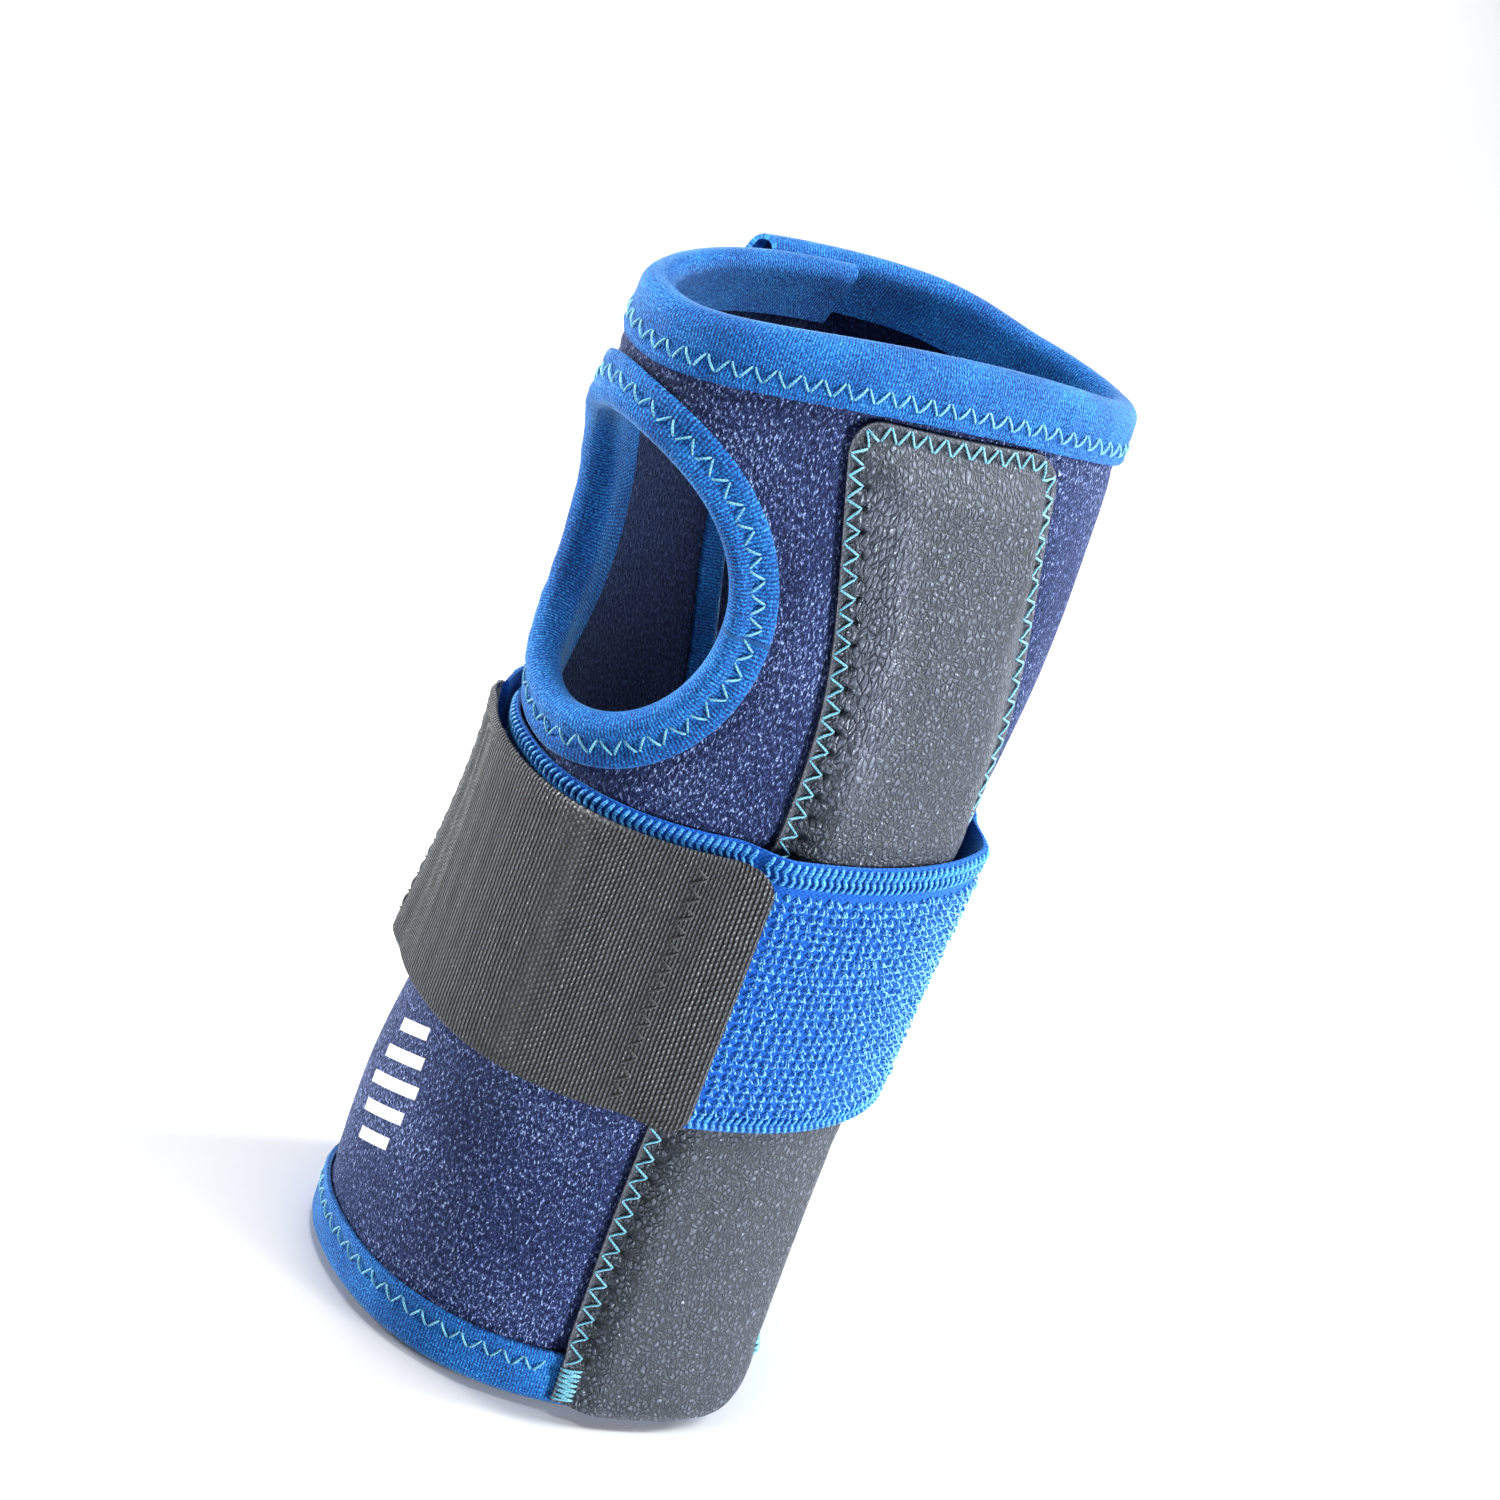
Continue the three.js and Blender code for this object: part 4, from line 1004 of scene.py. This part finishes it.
def pile(buf, s0, s1, inn, thick, height, seed):
    """loops standing on the tape's ground. height(s) is the loop height in mm"""
    rng = np.random.default_rng(seed)
    ps, pv = 1.72, 1.50
    a, b = s0 + .5, s1 - .5
    cols, rows = int((b - a) / ps), int(39.6 / pv)
    cs = a + (np.arange(cols) + .5) * (b - a) / cols
    cv = 3.2 + (np.arange(rows) + .5) * 39.6 / rows
    C, V = np.meshgrid(cs, cv)
    C = C + (np.arange(rows)[:, None] % 2) * ps * .12
    C, V = C.ravel(), V.ravel()
    rep = 2
    C, V = np.tile(C, rep), np.tile(V, rep)
    K = len(C)
    C = np.clip(C + rng.normal(0, .13, K) + .22 * np.where(np.arange(K) < K // rep, -1, 1), a, b); V = V + rng.normal(0, .11, K)
    ang = rng.normal(pi / 2, .30, K) + np.where(np.arange(K) < K // rep, -1, 1) * .42
    span = rng.uniform(.80, 1.15, K); lean = rng.normal(0, .30, K)
    h = height(C) * rng.uniform(.7, 1.15, K)
    t = np.linspace(0, 1, 6)[None, :]
    x = (t - .5) * span[:, None] * (1 + .5 * np.sin(pi * t))
    y = np.sin(pi * t) * h[:, None]
    S = C[:, None] + x * np.cos(ang)[:, None] + y * .35 * lean[:, None]
    W = V[:, None] + x * np.sin(ang)[:, None] - y * .25
    ok = (S.min(1) > s0) & (S.max(1) < s1)
    S, W, y = S[ok], W[ok], y[ok]
    Z, PHI, O = lay(S, W, inn, thick)
    P = at(PHI, Z, O + y - .12); N = at(PHI, Z, O + y + 1) - P
    N = N + rng.normal(0, .3, N.shape)
    tubes(buf, P, N, rng.uniform(.13, .20, len(P))[:, None], 4)
    return buf


def selvedges(buf, s0, s1, inn, thick):
    """chevron cords: two rows along the hand-side edge, one along the forearm-side edge"""
    pitch = 1.22
    n = int((s1 - s0 - 1.2) / pitch)
    c = s0 + .6 + (np.arange(n) + .5) * (s1 - s0 - 1.2) / n
    t = np.linspace(0, 1, 6)[None, :]
    for v0, v1, dx, r in ((46.0, 47.7, .75, .36), (46.2, 44.7, .75, .36), (43.9, 45.0, .55, .30), (2.0, .35, .75, .36), (1.8, 3.2, .75, .36)):
        S = c[:, None] + (t - .5) * dx
        W = v0 + (v1 - v0) * t + 0 * S
        Z, PHI, O = lay(S, W, inn, thick)
        rim = np.minimum(W, 48 - W)
        O = O + .30 * np.sin(pi * np.clip(t, .02, .98)) ** .7 - .34 * (1 - smooth(rim / 1.0)) - .05
        P = at(PHI, Z, O); N = at(PHI, Z, O + 1) - P
        tubes(buf, P, N, r * (0.55 + .45 * np.sin(pi * (t * .8 + .1))) + 0 * S, 6, 1)
    return buf


def length_of(P):
    """length along the middle of a grid of points in mm, in metres"""
    row = P[len(P) // 2]
    return float(np.linalg.norm(np.diff(row, axis=0), axis=1).sum()) * .001


def strap():
    thick = 1.15
    palm_in = lambda s, z, ph: turn_in(s, z) + .05
    body_in = lambda s, z, ph: lerp(turn_in(s, z) + .05, dorsal_in(ph), smooth((ph - 1.85) / .4))
    H = float(half(83.0))
    HS = lambda z: half(z)

    def tail_in(s, z, ph):                                # over the flap edge, then down under the tab
        far = dorsal_in(ph)
        q = s - 2 * half(z)                               # girth counted from the palm, thumb side
        return np.where(q < fFlap(z) + 1, far, np.minimum(far, tab_in(q, z) - .35)) - .05 * smooth((q + 84) / 3)
    pieces = [
        ("strap_start_tape", lambda z: STRAP_START + 0 * z, lambda z: -10.0 + 0 * z, palm_in, "brace", None, ["strap_palm_turn"], lambda s: .24 + 0 * s, (STRAP_START, -10.0)),
        ("strap_palm_and_back_tape", lambda z: -10.0 + 0 * z, HS, body_in, None, bl("brace", "strap_back", F_SPLIT), ["strap_back_turn"], lambda s: lerp(.24, .95, smooth((s + 7.4) / 1.2)), (-10.0, H)),
        ("strap_end_tape", HS, lambda z: 2 * half(z) - 70.0, tail_in, None, bl("strap_back", "strap_tab", F_TAB), [], lambda s: .95 - .75 * smooth((s - (2 * H - 75.0)) / .8), (H, 2 * H - 70.0)),
    ]
    for k, (name, s0, s1, inn, body, blend, nodes, height, span) in enumerate(pieces):
        s, z, ph, v, i, o = strap_ground(name, s0, s1, inn, thick)
        ob = closed_grid(Buf(), at(ph, z, o), at(ph, z, i), s, v, m_in=0).build(name, [tape])
        done(ob, body, nodes, blend=blend)
        b = Buf()
        pile(b, span[0] + .1, span[1] - .1, inn, thick, height, 60 + k)
        selvedges(b, span[0], span[1], inn, thick)
        pb = b.build(name.replace("_tape", "_pile"), [pile_mat, cord_mat], 0)
        done(pb, body, [], blend=blend)
        round(length_of(at(ph, z, (o + i) / 2)), 4)


# ---------------------------------------------------------------- grey tab and hook tapes
TAB_FAR = -75.5


def tab_base(s, z):
    over = 1 - smooth((s + 70.5) / 6.0)                   # rides up over the end of the blue tape
    return tab_in(s, z) - .05 + over * (1.15 + .25)


def tab():
    drop, r = TAB_DROP, 4.0
    L = 48 - drop
    v = graded(0, L, .62, .22, 1.5)
    cut = np.maximum(0, r - np.minimum(v, L - v)); trim = r - np.sqrt(np.maximum(0, r * r - cut * cut))
    uu = graded(0, 1, 1 / 235, 1 / 330, .02)
    s0, s1 = TAB_FAR + trim[:, None], TAB_END - trim[:, None]
    S = lerp(s0, s1, uu[None]); V = v[:, None] + 0 * S
    Z = STRAP_Z[0] + V
    for _ in range(3):
        PHI = phi_of(S, Z); Z = STRAP_Z[0] + V + STRAP_TILT * np.sin(PHI)
    d = np.minimum(np.minimum(V, L - V), np.minimum(S - s0, s1 - S))
    base = tab_base(S, Z) + .22 * vnoise(S / 15, Z / 17, 71) * smooth(d / 4)
    # the end lifts a little at its free corners, and the hook patch prints through
    patch = smooth((S + 60) / 1.5) * smooth((TAB_END - 1.6 - S) / 1.5) * smooth((V - 1.2) / 1.2) * smooth((L - 1.2 - V) / 1.2)
    out = base + 1.05 + .12 * patch - .42 * (1 - smooth(d / .75)) ** 1.5
    out = out + .055 * np.abs(np.sin(pi * S / .62)) - .12 * bell(S + 18.2, 1.1) - .12 * bell(S + 71.6, 1.1)
    inn = base + .10 + .22 * (1 - smooth(d / .75))
    rub = np.clip(bell(d, .6) + .4 * bell(S + 18.2, 1.6), 0, 1)
    o = closed_grid(Buf(), at(PHI, Z, out), at(PHI, Z, inn), S, V, m_in=0, rub=rub).build("strap_tab_cloth", [tab_mat])
    cloth = done(o, "strap_tab", ["strap_tab_face"])
    flat = (round(L * .001, 4), round(length_of(at(PHI, Z, base + .5)), 4))
    b = Buf()
    for s_at, sd in ((-18.2, 80), (-71.6, 81)):
        def centre(q, s_at=s_at):
            z = STRAP_Z[0] + q
            return s_at + 0 * q, z + STRAP_TILT * np.sin(phi_of(s_at + 0 * q, z))
        s, z, of, _ = zigzag((2.2, L - 2.2), centre, lambda q: (1 + 0 * q, 0 * q), 3.2, 2.6, lambda s, z: tab_base(s, z) + 1.0, seed=sd, up=.24, down=.3)
        thread(b, s, z, of, .19)
    o = b.build("strap_tab_thread", [grey_thread], 0)
    done(o, "strap_tab")


def hook_sheet(name, s_of, n_s, z0, z1, zfun, inn, t, node, body, slot="hook_tape"):
    """hook tape: a thin ground sheet, as geometry"""
    b = Buf()
    w = np.linspace(0, 1, int((z1 - z0) / 1.4))[:, None]
    u = np.linspace(0, 1, n_s)[None]
    Z = zfun(lerp(z0, z1, w), u); S = s_of(Z, u)
    closed_grid(b, on(S, Z, inn(S, Z) + t * .55), on(S, Z, inn(S, Z) + t), S, Z, m_in=0)
    return b, S, Z


def hooks(b, S, Z, root, h, step):
    """short bent hooks from root off the sheet by h (negative h is towards the arm)"""
    P0 = []
    K = len(S)
    t = np.linspace(0, 1, 5)[None]
    hs = S[:, None] + np.where(t > .6, (t - .6) * 1.0, 0) * step
    hz = Z[:, None] + 0 * t
    off = root[:, None] + h * np.sin(np.clip(t * 1.15, 0, 1) * pi / 2)
    P = on(hs, hz, off); N = on(hs, hz + .5, off) - P
    tubes(b, P, N, .11, 4)


def hook_tapes():
    # under the tab
    inn = lambda s, z: turn_out(s, z) + .35
    L = 48 - TAB_DROP
    v = np.linspace(1.2, L - 1.2, 46)[:, None]; s = np.linspace(-60, TAB_END - 1.6, 52)[None]
    S = s + 0 * v; Z = STRAP_Z[0] + v + 0 * s
    Z = Z + STRAP_TILT * np.sin(phi_of(S, Z))
    gap = tab_base(S, Z) + .02
    b = Buf()
    closed_grid(b, on(S, Z, gap), on(S, Z, inn(S, Z) + .55), S, v + 0 * s, m_in=0)
    hv, hs = np.meshgrid(np.arange(2.2, L - 2, 1.15), np.arange(-59, TAB_END - 2.4, 1.15))
    hv, hs = hv.ravel(), hs.ravel()
    hz = STRAP_Z[0] + hv; hz = hz + STRAP_TILT * np.sin(phi_of(hs, hz))
    hooks(b, hs, hz, inn(hs, hz) + .58, -.42, .5)
    o = b.build("strap_hook_patch_tape", [hook_mat])
    done(o, "strap_tab", ["strap_hook_patch"])
    # inside the flap edge
    zz = np.linspace(14, 166, 100)[:, None]; u = np.linspace(0, 1, 10)[None]
    Z = zz + 0 * u; S = fFlap(Z) - 6.8 - 8 * u
    b = Buf()
    closed_grid(b, on(S, Z, 2.3), on(S, Z, 1.15), S, Z, m_in=0)
    hz, hu = np.meshgrid(np.arange(15, 165.5, 1.25), np.linspace(.08, .92, 6))
    hz, hu = hz.ravel(), hu.ravel()
    hs = fFlap(hz) - 6.8 - 8 * hu
    hooks(b, hs, hz, 1.18 + 0 * hs, -.62, .5)
    o = b.build("flap_hook_strip_tape", [hook_mat])
    done(o, "dorsal_flap", ["flap_hook_strip"])


def print_marks():
    """a plain row of slanted bars, where a maker would print"""
    b = Buf()
    for k in range(5):
        z0 = 27.0 + k * 5.2
        long = [9.5, 12.5, 15.0, 12.5, 9.5][k]
        u, w = np.linspace(0, 1, 34)[None], np.linspace(0, 1, 8)[:, None]
        S = -58.0 + (u - .5) * long + 0 * w
        Z = z0 + (w - .5) * 2.3 + (u - .5) * long * .42
        ph = phi_of(S, Z)
        face = jersey_face(S, Z, ph)
        rim = np.minimum(np.minimum(u, 1 - u) * long, np.minimum(w, 1 - w) * 2.3)
        closed_grid(b, at(ph, Z, face + .02 + .14 * smooth(rim / .35)), at(ph, Z, face - .35), S, Z, m_in=0)
    o = b.build("forearm_print_bars", [ink_mat])
    done(o, "brace")


# ---------------------------------------------------------------- build it
stitches()
thumb_panel()
plain_panel("palm_cloth", lambda z: seamA(z) + .15, lambda z: seamB(z) - .15, 31, "palm_panel")
flap_panel()
zero = lambda z: 0.0 * z
flapB = lambda z: 2 * half(z) + fFlap(z)
hem_binding("forearm_hem_tape", lambda z: UNDERLAP_S + 0 * z, zero, True, False, ["forearm_hem_binding"], None)
hem_binding("forearm_hem_tape_little_finger_side", zero, flapB, True, True, ["flap_forearm_hem_binding"], bl("brace", "dorsal_flap", F_SPLIT))
hem_binding("hand_hem_tape", lambda z: UNDERLAP_S + 0 * z, zero, False, False, ["hand_hem_binding"], None)
hem_binding("hand_hem_tape_little_finger_side", zero, flapB, False, True, ["flap_hand_hem_binding"], bl("brace", "dorsal_flap", F_SPLIT))
edge_binding("underlap_edge_tape", lambda z: UNDERLAP_S + 0 * z, 1, False, "underlap_edge_binding", "brace")
edge_binding("flap_edge_tape", flapB, -1, True, "flap_edge_binding", "dorsal_flap", navy)
hole_binding()
pocket()
stay()
strap()
tab()
hook_tapes()
print_marks()

# ---------------------------------------------------------------- floor, light, camera
sc = bpy.context.scene


def stage_plane(name, size, z, color):
    me = bpy.data.meshes.new(name)
    me.from_pydata([(-size, -size, z), (size, -size, z), (size, size, z), (-size, size, z)], [], [(0, 1, 2, 3)])
    o = bpy.data.objects.new(name, me); sc.collection.objects.link(o)
    M = Mat(name + "_paint", Specular_IOR_Level=.2)
    n = M.noise(M.n("ShaderNodeTexCoord", out="Object"), 6, 2, .5)
    me.materials.append(M.end(M.ramp(n, [(.3, color), (.7, tuple(min(1, c * 1.01) for c in color))]), .75))
    return o


stage_plane("floor", 1.6, -0.0004, (.66, .66, .665))

AZ, EL, ROLL, DIST, LENS, TX, TY = -36.75, 22.94, 25.74, 942.0, 138.24, 0.25, 17.19
a, e, r = map(math.radians, (AZ, EL, ROLL))
back = Vector((math.sin(a) * math.cos(e), -math.cos(a) * math.cos(e), math.sin(e)))
right = (-back).cross(Vector((0, 0, 1))).normalized(); up = right.cross(-back)
right2 = math.cos(r) * right + math.sin(r) * up; up2 = -math.sin(r) * right + math.cos(r) * up
target = Vector((SHIFT_X, SHIFT_Y, 95.0)) + right2 * TX + up2 * TY
cam = bpy.data.objects.new("camera", bpy.data.cameras.new("camera"))
sc.collection.objects.link(cam)
cam.data.lens, cam.data.sensor_width = LENS, 36.0
cam.data.clip_start, cam.data.clip_end = .05, 30.0
cam.matrix_world = Matrix(((right2.x, up2.x, back.x, 0), (right2.y, up2.y, back.y, 0), (right2.z, up2.z, back.z, 0), (0, 0, 0, 1)))
cam.location = (target + back * DIST) * .001
sc.camera = cam

mid = Vector((0, 0, .095))


def area(name, right_, up_, back_, dist, size, power, color=(1, 1, 1)):
    """an area light placed in the camera's own directions, aimed at the middle of the splint"""
    d = (right2 * right_ + up2 * up_ + back * back_).normalized()
    L = bpy.data.lights.new(name, "AREA"); L.shape = "RECTANGLE"; L.size, L.size_y = size
    L.energy, L.color = power, color
    o = bpy.data.objects.new(name, L); sc.collection.objects.link(o)
    o.location = mid + d * dist
    o.rotation_mode = "QUATERNION"; o.rotation_quaternion = d.to_track_quat("Z", "Y")
    return o


area("key_left", -1.0, .42, -.20, .95, (.22, .8), 34)
area("rim_right", 1.0, .35, -.20, .95, (.24, .7), 15, (.93, .97, 1))
area("palm_side", .80, -.44, .34, .90, (.26, .20), 12, (.97, .98, 1))
area("front_top", .25, .95, .52, .62, (.20, .20), 4.5)
area("back_fill", -.1, .6, -1.0, 1.2, (.9, .7), 10)

world = bpy.data.worlds.new("world"); sc.world = world; world.use_nodes = True
bg = world.node_tree.nodes["Background"]
bg.inputs[0].default_value = (.93, .95, 1.0, 1)
wt = world.node_tree                                     # a pale band at the horizon, darker above
way, xyz, band = wt.nodes.new("ShaderNodeTexCoord"), wt.nodes.new("ShaderNodeSeparateXYZ"), wt.nodes.new("ShaderNodeMapRange")
wt.links.new(way.outputs["Generated"], xyz.inputs[0]); wt.links.new(xyz.outputs[2], band.inputs["Value"])
for k, x in (("From Min", 0.0), ("From Max", .26), ("To Min", .85), ("To Max", .12)):
    band.inputs[k].default_value = x
wt.links.new(band.outputs[0], bg.inputs[1])
sc.view_settings.view_transform = "Standard"
sc.view_settings.look = "None"
sc.view_settings.exposure = 0.0
